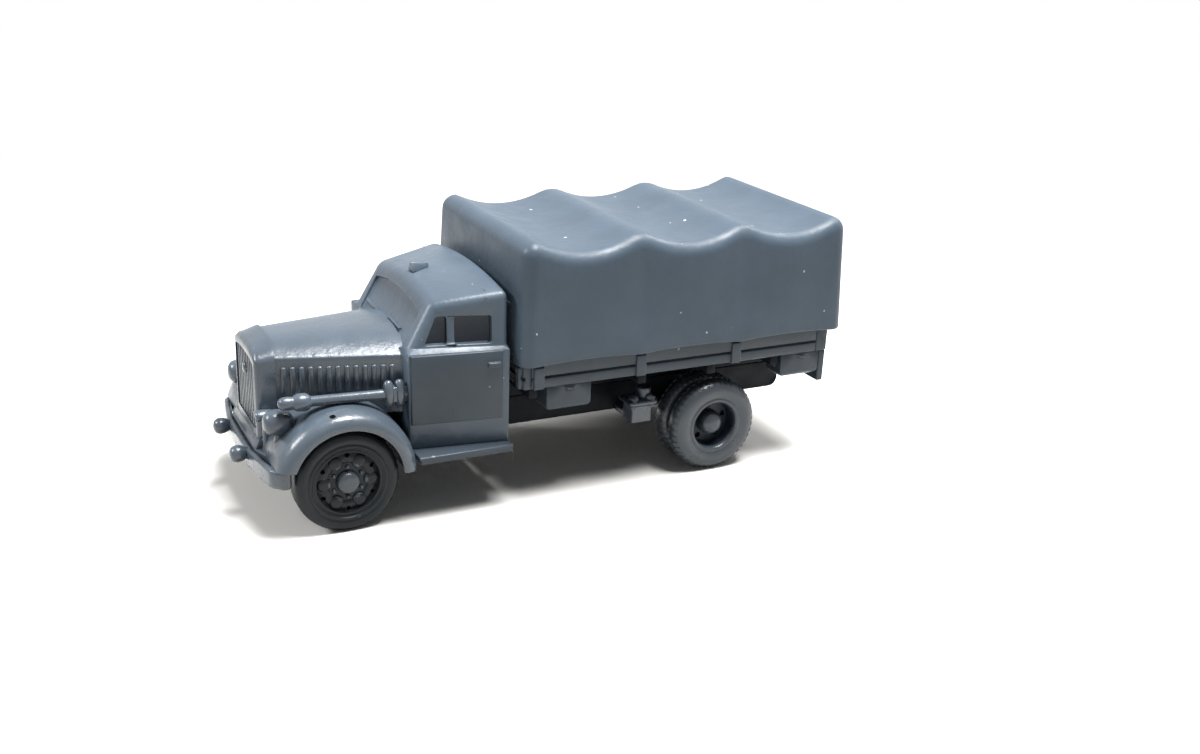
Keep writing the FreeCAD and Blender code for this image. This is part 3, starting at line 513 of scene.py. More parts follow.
@dataclass(frozen=True)
class PlasticFinish:
    """Blue-grey moulded plastic, with its tone, gloss, skin and specks as fields."""

    name: str
    colour: Triple
    shade: float = 0.86
    roughness: float = 0.36
    shine: float = 0.5
    refraction: float = 1.49
    skin_depth: float = 0.035
    ripple_depth: float = 0.0
    speck_share: float = 0.0

    def material(self, library: "EffectLibrary") -> Material:
        """Builds the finish's material.

        Args:
            library: holds the shared effect groups.

        Returns:
            The material.
        """
        made = bpy.data.materials.new(self.name)
        made.use_nodes = True
        tree = made.node_tree
        skin = library.place(tree, library.skin, Tone=self.colour + (1.0,), Shade=self.shade,
                             Gloss=self.roughness)
        flecks = library.place(tree, library.flecks, Colour=skin.outputs["Colour"], Amount=self.speck_share)
        relief = {}
        for group, depth in ((library.ripples, self.ripple_depth), (library.grain, self.skin_depth)):
            if depth > 0:
                height = library.place(tree, group).outputs["Height"]
                bump = add_node(tree, "Bump", {"Distance": depth * MM, "Height": height, **relief})
                relief = {"Normal": bump.outputs["Normal"]}
        feed(tree, tree.nodes["Principled BSDF"], {
            "IOR": self.refraction, "Specular IOR Level": self.shine, "Base Color": flecks.outputs["Colour"],
            "Roughness": skin.outputs["Roughness"], **relief})
        return made


@dataclass
class EffectLibrary:
    """Shared shader groups that the finishes place with their own values."""

    cloud_scale: float = 240.0
    gloss_scale: float = 520.0
    skin_detail: float = 3.0
    cloud_span: Span = (0.35, 0.7, 0.0, 1.0)
    gloss_span: Span = (0.3, 0.7, -0.06, 0.08)
    fleck_scale: float = 760.0
    fleck_reach: Span = (0.64, 1.0, 0.0, 0.13)
    fleck_edge: Span = (0.0, 0.035, 0.0, 1.0)
    fleck_colour: Span = (0.42, 0.46, 0.50, 1.0)
    ragged_scale: float = 2600.0
    ragged_detail: float = 2.0
    ragged_span: Span = (0.3, 0.7, 0.4, 1.5)

    def __post_init__(self) -> None:
        """Builds each group once."""
        self.skin = self._skin()
        self.flecks = self._flecks()
        self.grain = self._height("moulded_grain", stretch_by=(1.0, 1.0, 1.0), scale=1500.0, detail=4.0)
        self.ripples = self._height("moulded_ripples", stretch_by=(1.0, 0.35, 0.5), scale=620.0, detail=1.0)

    @staticmethod
    def place(tree: Tree, group: Tree, **given: object) -> Node:
        """Adds a group to a material and gives its inputs their values or sockets."""
        return add_node(tree, "Group", given, node_tree=group)

    @staticmethod
    def _group(name: str, given: dict[str, str], result: dict[str, str]) -> tuple[Tree, Node, Node]:
        """Starts a group with its sockets.

        Args:
            name: the group's name.
            given: type of each input.
            result: type of each output.

        Returns:
            The group and its two end nodes.
        """
        group = bpy.data.node_groups.new(name, "ShaderNodeTree")
        for way, sockets in (("INPUT", given), ("OUTPUT", result)):
            for label, kind in sockets.items():
                group.interface.new_socket(label, in_out=way, socket_type=f"NodeSocket{kind}")
        return group, group.nodes.new("NodeGroupInput"), group.nodes.new("NodeGroupOutput")

    @staticmethod
    def _own_place(group: Tree) -> Socket:
        """The place on the piece itself."""
        return add_node(group, "TexCoord").outputs["Object"]

    def _uneven(self, group: Tree, scale: float, detail: float, span: Span) -> Socket:
        """Noise on the piece's own place.

        Args:
            group: the group to add to.
            scale: how fine the noise is.
            detail: how many finer layers it has.
            span: lowest and highest noise, and what they become.

        Returns:
            The value.
        """
        given = {"Vector": self._own_place(group), "Scale": scale, "Detail": detail}
        return self._spread(group, add_node(group, "TexNoise", given).outputs["Fac"], span)

    @staticmethod
    def _spread(group: Tree, source: Socket, span: Span) -> Socket:
        """Maps a value from the first two values of a span to the last two."""
        return add_node(group, "MapRange", dict(enumerate((source, *span)))).outputs[0]

    def _skin(self) -> Tree:
        """Cloudy tone and a softly uneven gloss.

        Returns:
            The group.
        """
        group, given, result = self._group(
            "moulded_skin", {"Tone": "Color", "Shade": "Float", "Gloss": "Float"},
            {"Colour": "Color", "Roughness": "Float"})
        tone, shade, gloss = (given.outputs[label] for label in ("Tone", "Shade", "Gloss"))
        clouds = self._uneven(group, self.cloud_scale, self.skin_detail, self.cloud_span)
        darker = add_node(group, "VectorMath", {0: tone, "Scale": shade}, operation="SCALE")
        uneven = self._uneven(group, self.gloss_scale, self.skin_detail, self.gloss_span)
        feed(group, result, {"Colour": mix_colours(group, clouds, darker.outputs[0], tone),
                             "Roughness": combine(group, "ADD", uneven, gloss)})
        return group

    def _flecks(self) -> Tree:
        """Small white specks of uneven size, thinly strewn.

        Returns:
            The group.
        """
        group, given, result = self._group("white_flecks", {"Colour": "Color", "Amount": "Float"},
                                           {"Colour": "Color"})
        cells = add_node(group, "TexVoronoi", {"Vector": self._own_place(group), "Scale": self.fleck_scale})
        chance = add_node(group, "SeparateColor", {0: cells.outputs["Color"]}).outputs[0]
        reach = self._spread(group, chance, self.fleck_reach)
        ragged = self._uneven(group, self.ragged_scale, self.ragged_detail, self.ragged_span)
        edge = combine(group, "MULTIPLY", reach, ragged)
        inside = combine(group, "SUBTRACT", edge, cells.outputs["Distance"])
        mask = self._spread(group, inside, self.fleck_edge)
        share = combine(group, "MULTIPLY", mask, given.outputs["Amount"])
        feed(group, result, {"Colour": mix_colours(group, share, given.outputs["Colour"], self.fleck_colour)})
        return group

    def _height(self, name: str, stretch_by: Triple, scale: float, detail: float) -> Tree:
        """Height of a fine grain or of soft ripples.

        Args:
            name: the group's name.
            stretch_by: how much faster the pattern changes along each axis.
            scale: how fine the pattern is.
            detail: how many finer layers it has.

        Returns:
            The group.
        """
        group, _, result = self._group(name, {}, {"Height": "Float"})
        mapping = add_node(group, "Mapping", {"Vector": self._own_place(group), "Scale": stretch_by})
        noise = add_node(group, "TexNoise", {
            "Vector": mapping.outputs["Vector"], "Scale": scale, "Detail": detail})
        feed(group, result, {"Height": noise.outputs["Fac"]})
        return group


# Painted shade: a darker copy of the plastic for the side pieces (doors, boards, boxes, running boards), as
# the sides stand in less light.
SHADED_BODY_PLASTIC = PlasticFinish("shaded_body_plastic", (0.044, 0.058, 0.074), shine=0.26, speck_share=0.35)
# Painted light: a lighter copy of the same plastic for the cab and the roof marker, whose roof and screen
# catch the light.
LIT_ROOF_PLASTIC = PlasticFinish("lit_roof_plastic", (0.066, 0.092, 0.122), shine=0.4, speck_share=0.5)
CANVAS_PLASTIC = PlasticFinish("canvas_plastic", (0.058, 0.082, 0.110), roughness=0.42, shine=0.3,
                               ripple_depth=0.03, speck_share=0.95)
GLOSSY_PLASTIC = PlasticFinish("glossy_plastic", (0.064, 0.084, 0.107), roughness=0.27, speck_share=0.2)
WHEEL_PLASTIC = PlasticFinish("wheel_plastic", (0.048, 0.060, 0.074), roughness=0.30, shine=0.4,
                              speck_share=0.1)
# Painted shade: the front wheels' tyre and disc darker than the plastic, as they stand in shade under the
# guards.
SHADED_WHEEL_PLASTIC = PlasticFinish("shaded_wheel_plastic", (0.013, 0.017, 0.021), roughness=0.32, shine=0.17,
                                   speck_share=0.1)
# Painted shade: a dark copy of the plastic for the deep window panes and the rear wheels' deep rims.
SHADOW_PLASTIC = PlasticFinish("shadow_plastic", (0.012, 0.018, 0.028), roughness=0.4, shine=0.25)
# Painted shade: a near-black copy of the plastic for the parts under the bed and the mudguard's pit, as they
# lie in shade.
UNDER_SHADE_PLASTIC = PlasticFinish("under_shade_plastic", (0.008, 0.010, 0.013), roughness=0.5, shine=0.08)


@dataclass
class Finishes:
    """The truck's finishes, one per kind of surface, and the names of the pieces that wear them."""

    library: EffectLibrary = field(default_factory=EffectLibrary)
    made: dict[str, Material] = field(default_factory=dict)
    dressed: list[str] = field(default_factory=list)

    def material(self, finish: PlasticFinish) -> Material:
        """Gives a finish's material, built at its first use."""
        if finish.name not in self.made:
            self.made[finish.name] = finish.material(self.library)
        return self.made[finish.name]

    def dress(self, obj: Piece, finish: PlasticFinish, body: str = TRUCK_BODY,
              replaces: Sequence[str] = ()) -> None:
        """Gives a piece its finish, its body and the nodes it stands for.

        Args:
            obj: the piece.
            finish: its finish.
            body: the body that carries it.
            replaces: the nodes it stands for.
        """
        obj.data.materials.clear()
        obj.data.materials.append(self.material(finish))
        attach(obj, body)
        if replaces:
            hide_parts(*replaces)
        self.dressed.append(obj.name)

    def dress_faces(self, obj: Piece, finish: PlasticFinish, test: PairTest) -> None:
        """Gives some faces of a dressed piece another finish.

        Args:
            obj: the piece.
            finish: the faces' finish.
            test: takes a face's centre and normal.
        """
        obj.data.materials.append(self.material(finish))
        with editing(obj):
            if pick(Part.FACE, test):
                obj.active_material_index = len(obj.data.materials) - 1
                bpy.ops.object.material_slot_assign()


# Pieces


@dataclass
class SoftenedPieces:
    """Plain pieces of the frame with soft moulded edges."""

    nodes: Sequence[str]
    edge: float = 0.09
    segments: int = 2
    finish: PlasticFinish = SHADED_BODY_PLASTIC

    def build(self, finishes: Finishes) -> None:
        """Copies each node, rounds its edges and dresses it.

        Args:
            finishes: gives each piece its material.
        """
        for node in self.nodes:
            piece = merged_copy(node, f"{node}_moulded")
            bevel(piece, self.edge, self.segments)
            smooth(piece)
            finishes.dress(piece, self.finish, body_of(frame["nodes"][node])[0], (node,))


@dataclass
class FrontWheels:
    """Single front wheels: ringed tyre, lobed disc with hand holes, nuts and a domed hub; tyre and disc
    darkened as painted shade, hub and nuts lighter as painted light.
    """

    centre_x: float = 20.475
    centre_z: float = 4.55
    hub_y: float = 9.56
    hub_radius: float = 1.7
    hole_circle: float = 2.45
    hole_count: int = 6
    lobe_circle: float = 2.02
    nut_circle: float = 1.36
    nut_count: int = 6
    hole: Profile = ((0, 9.1), (0.21, 9.1), (0.21, 10.3), (0, 10.3))
    nut: Profile = ((0, 9.4), (0.19, 9.4), (0.19, 9.54), (0.1615, 9.7), (0.095, 9.78), (0, 9.81))
    lobe: Profile = ((0, 9.4), (0.66, 9.4), (0.62, 9.6), (0.5, 9.71), (0.3, 9.77), (0, 9.79))
    profile: Profile = ((0, 9.4), (0.75, 9.4), (0.75, 7.7), (4.05, 7.7), (4.38, 7.84), (4.55, 8.15),
                        (4.55, 9.25), (4.5, 9.52), (4.36, 9.74), (4.14, 9.9), (3.88, 9.97), (3.66, 9.95),
                        (3.56, 9.88), (3.5, 9.88), (3.42, 9.95), (3.3, 9.98), (3.2, 9.96), (3.12, 9.84),
                        (3.0, 9.8), (2.88, 9.86), (2.78, 9.84), (2.7, 9.6), (2.62, 9.48), (2.52, 9.5),
                        (2.4, 9.6), (2.1, 9.64), (1.8, 9.6), (1.7, 9.5), (1.02, 9.5), (0.98, 9.6),
                        (0.96, 9.86), (0.9, 10.0), (0.76, 10.11), (0.5, 10.18), (0.25, 10.2), (0, 10.2))

    def build(self, finishes: Finishes) -> None:
        """Turns one wheel, cuts its hand holes, adds its nuts and copies it to the other side.

        Args:
            finishes: gives each piece its material.
        """
        centre = mm(self.centre_x, 0, self.centre_z)
        wheel = lathe("wheel_front_left_moulded", self.profile, centre, Axis.Y)
        hole = lathe("hand_hole", self.hole, centre + mm(0, 0, self.hole_circle), Axis.Y, steps=14)
        cut_out(wheel, ring_of(hole, self.hole_count, centre, Axis.Y))
        nut = lathe("wheel_nut", self.nut, centre + mm(0, 0, self.nut_circle), Axis.Y, steps=12)
        half_turn = Matrix.Rotation(math.pi / self.hole_count, 4, "Y")
        between = centre + half_turn @ mm(0, 0, self.lobe_circle)
        lobe = lathe("disc_lobe", self.lobe, between, Axis.Y, steps=20)
        wheel = joined([wheel, ring_of(nut, self.nut_count, centre, Axis.Y),
                        ring_of(lobe, self.hole_count, centre, Axis.Y)])
        smooth(wheel, angle=38)
        other = mirrored(wheel, "wheel_front_right_moulded")
        for piece, node in ((wheel, "wheel_front_left"), (other, "wheel_front_right")):
            # Painted shade on the whole wheel, then painted light on the hub and nuts.
            finishes.dress(piece, SHADED_WHEEL_PLASTIC, node, (node,))
            finishes.dress_faces(piece, WHEEL_PLASTIC, lambda middle, _: self.on_hub(middle - centre))

    def on_hub(self, across: Vector) -> bool:
        """Whether a place lies on the hub or the nuts of the outer face, which wear the lighter wheel finish
        as painted light.
        """
        return math.hypot(across.x, across.z) < self.hub_radius * MM and abs(across.y) > self.hub_y * MM


@dataclass
class RearWheels:
    """Twin rear wheels: two ribbed tyres, a deep rim painted dark as shade and a ball hub."""

    centre_x: float = -15.525
    centre_z: float = 4.55
    rim_span: tuple[float, float] = (1.2, 2.24)
    rim_y: float = 9.9
    rib_count: int = 44
    rib_raise: float = 0.05
    rib_root: float = 4.1
    hole_circle: float = 1.7
    hole_count: int = 5
    hole: Profile = ((0, 8.2), (0.3, 8.2), (0.3, 9.0), (0, 9.0))
    rib_bands: Sequence[tuple[float, float]] = ((5.9, 6.5), (7.1, 7.7), (8.4, 9.0), (9.45, 10.12))
    profile: Profile = ((0, 8.6), (0.75, 8.6), (0.75, 5.8), (3.7, 5.8), (4.05, 5.9), (4.3, 6.12),
                        (4.46, 6.45), (4.5, 6.75), (4.46, 7.1), (4.3, 7.45), (4.05, 7.68), (3.75, 7.75),
                        (3.2, 7.75), (3.2, 8.35), (3.75, 8.35), (4.05, 8.42), (4.3, 8.64), (4.46, 8.98),
                        (4.5, 9.3), (4.46, 9.6), (4.33, 9.88), (4.12, 10.1), (3.84, 10.24), (3.5, 10.3),
                        (3.15, 10.26), (2.86, 10.14), (2.76, 10.12), (2.66, 10.18), (2.5, 10.2),
                        (2.36, 10.12), (2.27, 9.95), (2.25, 9.7), (2.2, 8.75), (2.1, 8.62), (1.15, 8.62),
                        (1.18, 8.8), (1.19, 9.1), (1.14, 9.4), (1.0, 9.66), (0.76, 9.85), (0.4, 9.96),
                        (0, 10.0))

    def ribbed(self, across: Vector) -> bool:
        """Whether a face of the tyre belongs to a tread rib.

        Args:
            across: the face's place from the wheel's centre in millimetres.

        Returns:
            True for every second step of the tyres' shoulders.
        """
        angle = math.atan2(across.x, across.z) % (2 * math.pi)
        turn = angle / (2 * math.pi) * 2 * self.rib_count
        in_band = any(low < across.y < high for low, high in self.rib_bands)
        return math.hypot(across.x, across.z) > self.rib_root and in_band and math.floor(turn) % 2 == 0

    def add_ribs(self, wheel: Piece, centre: Vector) -> None:
        """Raises the tread ribs.

        Args:
            wheel: the turned wheel.
            centre: its centre in metres.
        """
        with editing(wheel):
            pick(Part.FACE, lambda middle, _: self.ribbed((middle - centre) / MM))
            bpy.ops.mesh.extrude_region_shrink_fatten(
                TRANSFORM_OT_shrink_fatten={"value": self.rib_raise * MM, "use_even_offset": False})

    def build(self, finishes: Finishes) -> None:
        """Turns one twin wheel, raises its ribs, cuts its hand holes and copies it.

        Args:
            finishes: gives each piece its material.
        """
        centre = mm(self.centre_x, 0, self.centre_z)
        wheel = lathe("wheel_rear_left_moulded", self.profile, centre, Axis.Y, 2 * self.rib_count)
        self.add_ribs(wheel, centre)
        hole = lathe("hand_hole", self.hole, centre + mm(0, 0, self.hole_circle), Axis.Y, steps=14)
        cut_out(wheel, ring_of(hole, self.hole_count, centre, Axis.Y))
        smooth(wheel, angle=38)
        other = mirrored(wheel, "wheel_rear_right_moulded")
        for piece, node in ((wheel, "wheel_rear_left"), (other, "wheel_rear_right")):
            finishes.dress(piece, WHEEL_PLASTIC, node, (node,))
            finishes.dress_faces(piece, SHADOW_PLASTIC, lambda middle, _: self.in_rim(middle - centre))

    def in_rim(self, across: Vector) -> bool:
        """Whether a place lies on the floor or the wall of the deep rim, which wears the painted shade
        finish.
        """
        inner, outer = self.rim_span
        return inner * MM < math.hypot(across.x, across.z) < outer * MM and abs(across.y) < self.rim_y * MM


@dataclass
class Mudguards:
    """Round-shouldered front mudguards, open below, ending on the bumper and the running board."""

    centre_x: float = 20.475
    centre_z: float = 4.65
    rear_foot_z: float = 4.9
    front_foot_z: float = 6.35
    cut_reach: float = 7.0
    cut_span: tuple[float, float] = (4.0, 11.0)
    pit: Triple = (21.62, 9.6, 10.65)
    pit_radius: float = 0.28
    pit_ball: Profile = ((0, -0.28), (0.196, -0.196), (0.28, 0), (0.196, 0.196), (0, 0.28))
    profile: Profile = ((5.05, 4.35), (6.2, 4.35), (6.24, 5.2), (6.25, 6.5), (6.25, 8.3), (6.22, 9.0),
                        (6.12, 9.6), (5.95, 10.02), (5.7, 10.3), (5.4, 10.45), (5.1, 10.5), (4.88, 10.48),
                        (4.78, 10.4), (4.78, 10.25), (4.9, 10.15), (5.02, 10.05), (5.05, 9.7))

    def build(self, finishes: Finishes) -> None:
        """Turns one guard, cuts it off at its two feet and copies it to the other side.

        Args:
            finishes: gives each piece its material.
        """
        centre = mm(self.centre_x, 0, self.centre_z)
        guard = lathe("mudguard_left_moulded", self.profile, centre, Axis.Y, steps=112, closed=True)
        near, far = self.cut_span
        reach = self.cut_reach
        for x, z in ((self.centre_x - reach, self.rear_foot_z), (self.centre_x, self.front_foot_z)):
            cut_out(guard, new_block("foot_cut", mm(x, near, -reach), mm(self.centre_x + reach, far, z)))
        other = mirrored(guard, "mudguard_right_moulded")
        pit = mm(*self.pit)
        cut_out(guard, lathe("pit", self.pit_ball, pit, Axis.Z, steps=12))
        smooth(guard, angle=42)
        smooth(other, angle=42)
        finishes.dress(guard, GLOSSY_PLASTIC, replaces=("mudguard_left",))
        # Painted shade: the pit's faces wear the near-black under finish, as the shade inside a hole.
        finishes.dress_faces(guard, UNDER_SHADE_PLASTIC,
                             lambda middle, _: (middle - pit).length < 1.01 * self.pit_radius * MM)
        finishes.dress(other, GLOSSY_PLASTIC, replaces=("mudguard_right",))


@dataclass
class CanvasCover:
    """Moulded cover: four bows, sagging bays between them, a scalloped hem and open below."""

    rear_x: float = -28.975
    front_x: float = 5.275
    half: float = 11.0
    hem_z: float = 13.1
    crest_z: float = 24.1
    bows: Sequence[float] = (4.075, -6.54, -17.16, -27.775)
    half_bay: float = 5.31
    sag: float = 1.15
    crest_share: float = 0.2
    lean: float = 0.4
    pull_in: float = 0.28
    scallop: float = 0.22
    wall: float = 0.85
    edge: float = 1.3
    rim: float = 0.2
    station: float = 0.53
    eave_depth: float = 3.5
    straight_foot: float = 1.5
    levels: Sequence[float] = (14.1, 16.1, 21.1)
    lines: Sequence[float] = (-6.0, 0.0, 6.0)

    def bow_share(self, x: float) -> float:
        """Distance from the nearest bow as a share of half a bay, no more than one."""
        return min(1.0, min(abs(x - bow) for bow in self.bows) / self.half_bay)

    def drop(self, x: float) -> float:
        """How far the roof sags.

        Args:
            x: place along the cover in millimetres.

        Returns:
            The sag in millimetres.
        """
        if not self.bows[-1] < x < self.bows[0]:
            return 0.0
        share, crest = self.bow_share(x), self.crest_share
        if share < crest:
            return self.sag / crest * share ** 2
        return self.sag - self.sag / (1 - crest) * (1 - share) ** 2

    def shape_station(self, x: float) -> None:
        """Lowers, pulls in and scallops the edited mesh at one place along the cover.

        Args:
            x: the place in millimetres.
        """
        here = mm(x, 0, self.crest_z)
        nudge(lambda place: same(place.x, x) and past(place.z, self.crest_z - self.eave_depth),
              mm(0, 0, -self.drop(x)))
        away = min(1.0, min(abs(x - bow) for bow in self.bows[1:-1]) / self.half_bay)
        pull = 1 - self.pull_in * (1 - away) ** 2 / self.half
        stretch(lambda place: same(place.x, x) and past(place.z, self.hem_z + self.straight_foot),
                Vector((1, pull, 1)), here)
        if self.bows[-1] < x < self.bows[0]:
            rise = self.scallop * (1 - (1 - self.bow_share(x)) ** 2)
            nudge(lambda place: same(place.x, x) and same(place.z, self.hem_z), mm(0, 0, rise))

    def build(self, finishes: Finishes) -> None:
        """Shapes the cover from a block, hollows it and rounds its rim.

        Args:
            finishes: gives each piece its material.
        """
        low = mm(self.rear_x, -self.half, self.hem_z)
        high = mm(self.front_x, self.half, self.crest_z)
        cover = new_block("canvas_cover_moulded", low, high)
        middle = (low + high) / 2
        with editing(cover):
            inward = Vector((1 - 2 * self.lean / (self.front_x - self.rear_x), 1 - self.lean / self.half, 1))
            stretch(lambda place: place.z > middle.z, inward, middle)
        round_edges(cover, lambda a, b: max(a.z, b.z) > middle.z, self.edge, segments=6)
        span = self.bows[0] - self.bows[-1]
        count = int(span / self.station)
        stations = [self.bows[0] - index * span / count for index in range(count + 1)]
        slice_along(cover, Axis.Z, self.levels)
        slice_along(cover, Axis.X, stations)
        slice_along(cover, Axis.Y, self.lines)
        with editing(cover):
            for x in stations:
                self.shape_station(x)
            open_below()
            outward()
        thicken(cover, self.wall)
        bevel(cover, self.rim, segments=3, angle=55)
        smooth(cover, angle=60)
        finishes.dress(cover, CANVAS_PLASTIC, replaces=("canvas_cover",))


@dataclass
class Bonnet:
    """Tapering bonnet with a crowned top, a tight fold and upright louvres, open below."""

    front_x: float = 24.875
    cowl_x: float = 14.575
    half_front: float = 3.88
    half_rear: float = 6.6
    bottom_z: float = 9.0
    edge_z: float = 14.15
    crown_rear: float = 1.5
    crown_front: float = 1.3
    squareness: float = 3.0
    rows: int = 9
    wall: float = 0.5
    fold: float = 0.4
    screen_z: float = 14.4
    tail_start: float = 0.5
    tail_slope: float = 0.5
    guard_centre: Triple = (20.475, 0.0, 4.65)
    guard_radius: float = 6.2
    guard_span: tuple[float, float] = (4.35, 9.0)
    louvre_count: int = 13
    louvre_start: float = 15.175
    louvre_pitch: float = 0.735
    louvre_width: float = 0.46
    louvre_height: float = 2.35
    louvre_top: float = 13.45
    louvre_raise: float = 0.26
    louvre_root: float = 0.3
    louvre_edge: float = 0.17

    def taper(self) -> float:
        """The angle between the bonnet's side and its middle plane."""
        return math.atan2(self.half_rear - self.half_front, self.front_x - self.cowl_x)

    def side_y(self, x: float) -> float:
        """The side's distance from the middle plane at a place along the bonnet."""
        return self.half_rear - (x - self.cowl_x) * math.tan(self.taper())

    def rise(self, row: float) -> float:
        """Height of the crown above the fold at the rear, on one lengthwise row."""
        return self.crown_rear * (1 - abs(row / self.half_rear) ** self.squareness)

    def shell(self) -> Piece:
        """Shapes the bonnet from a block.

        Returns:
            The bonnet with its wall, open below and cut out for the mudguards.
        """
        shell = new_block("bonnet_moulded", mm(self.cowl_x, -self.half_rear, self.bottom_z),
                          mm(self.front_x, self.half_rear, self.edge_z))
        rows = closing_rows(self.half_rear, self.rows)
        slice_along(shell, Axis.Y, rows)
        with editing(shell):
            for row in rows:
                nudge(lambda place: same(place.y, row) and past(place.z, self.edge_z),
                      mm(0, 0, self.rise(row)))
            front = mm(self.front_x, 0, self.edge_z)
            narrower = Vector((1, self.half_front / self.half_rear, 1))
            stretch(lambda place: past(place.x, self.front_x), narrower, front)
            flatter = Vector((1, 1, self.crown_front / self.crown_rear))
            stretch(lambda place: past(place.x, self.front_x) and past(place.z, self.edge_z), flatter, front)
            for row in rows:
                above = self.edge_z + self.rise(row) - self.screen_z
                if above > 0:
                    tail = mm(-self.tail_start - self.tail_slope * above, 0, 0)
                    nudge(lambda place: same(place.y, row) and past(place.z, self.edge_z)
                          and same(place.x, self.cowl_x), tail)
            open_below()
        round_edges(shell, lambda a, b: same(a.z, self.edge_z) and same(b.z, self.edge_z)
                    and abs(a.x - b.x) > MM, self.fold)
        with editing(shell):
            outward()
        thicken(shell, self.wall)
        for side in Side:
            near, far = sorted(side.value * y for y in self.guard_span)
            form = ((0, near), (self.guard_radius, near), (self.guard_radius, far), (0, far))
            cut_out(shell, lathe("guard_cut", form, mm(*self.guard_centre), Axis.Y))
        return shell

    def louvre(self) -> Piece:
        """Shapes one rounded louvre at the frame's origin.

        Returns:
            The louvre.
        """
        low = mm(-self.louvre_width / 2, -self.louvre_root, self.louvre_top - self.louvre_height)
        rib = new_block("louvre", low, mm(self.louvre_width / 2, self.louvre_raise, self.louvre_top))
        with editing(rib):
            bpy.ops.mesh.select_all(action="SELECT")
            bpy.ops.mesh.bevel(offset=self.louvre_edge * MM, segments=3, affect="EDGES")
        return rib

    def louvres(self) -> Piece:
        """Copies the louvre along both sides of the bonnet.

        Returns:
            All louvres as one piece.
        """
        model = self.louvre()
        ribs = []
        for index in range(self.louvre_count):
            x = self.louvre_start + self.louvre_width / 2 + self.louvre_pitch * index
            place = Matrix.Translation(mm(x, self.side_y(x), 0)) @ Matrix.Rotation(-self.taper(), 4, "Z")
            ribs.append(copied(model, f"louvre_left_{index}", place))
        bpy.data.objects.remove(model, do_unlink=True)
        left = joined(ribs)
        return joined([left, mirrored(left, "louvres_right")])

    def build(self, finishes: Finishes) -> None:
        """Builds the bonnet's shell and its louvres as one piece.

        Args:
            finishes: gives each piece its material.
        """
        bonnet = joined([self.shell(), self.louvres()])
        smooth(bonnet, angle=45)
        finishes.dress(bonnet, GLOSSY_PLASTIC, replaces=("bonnet",))


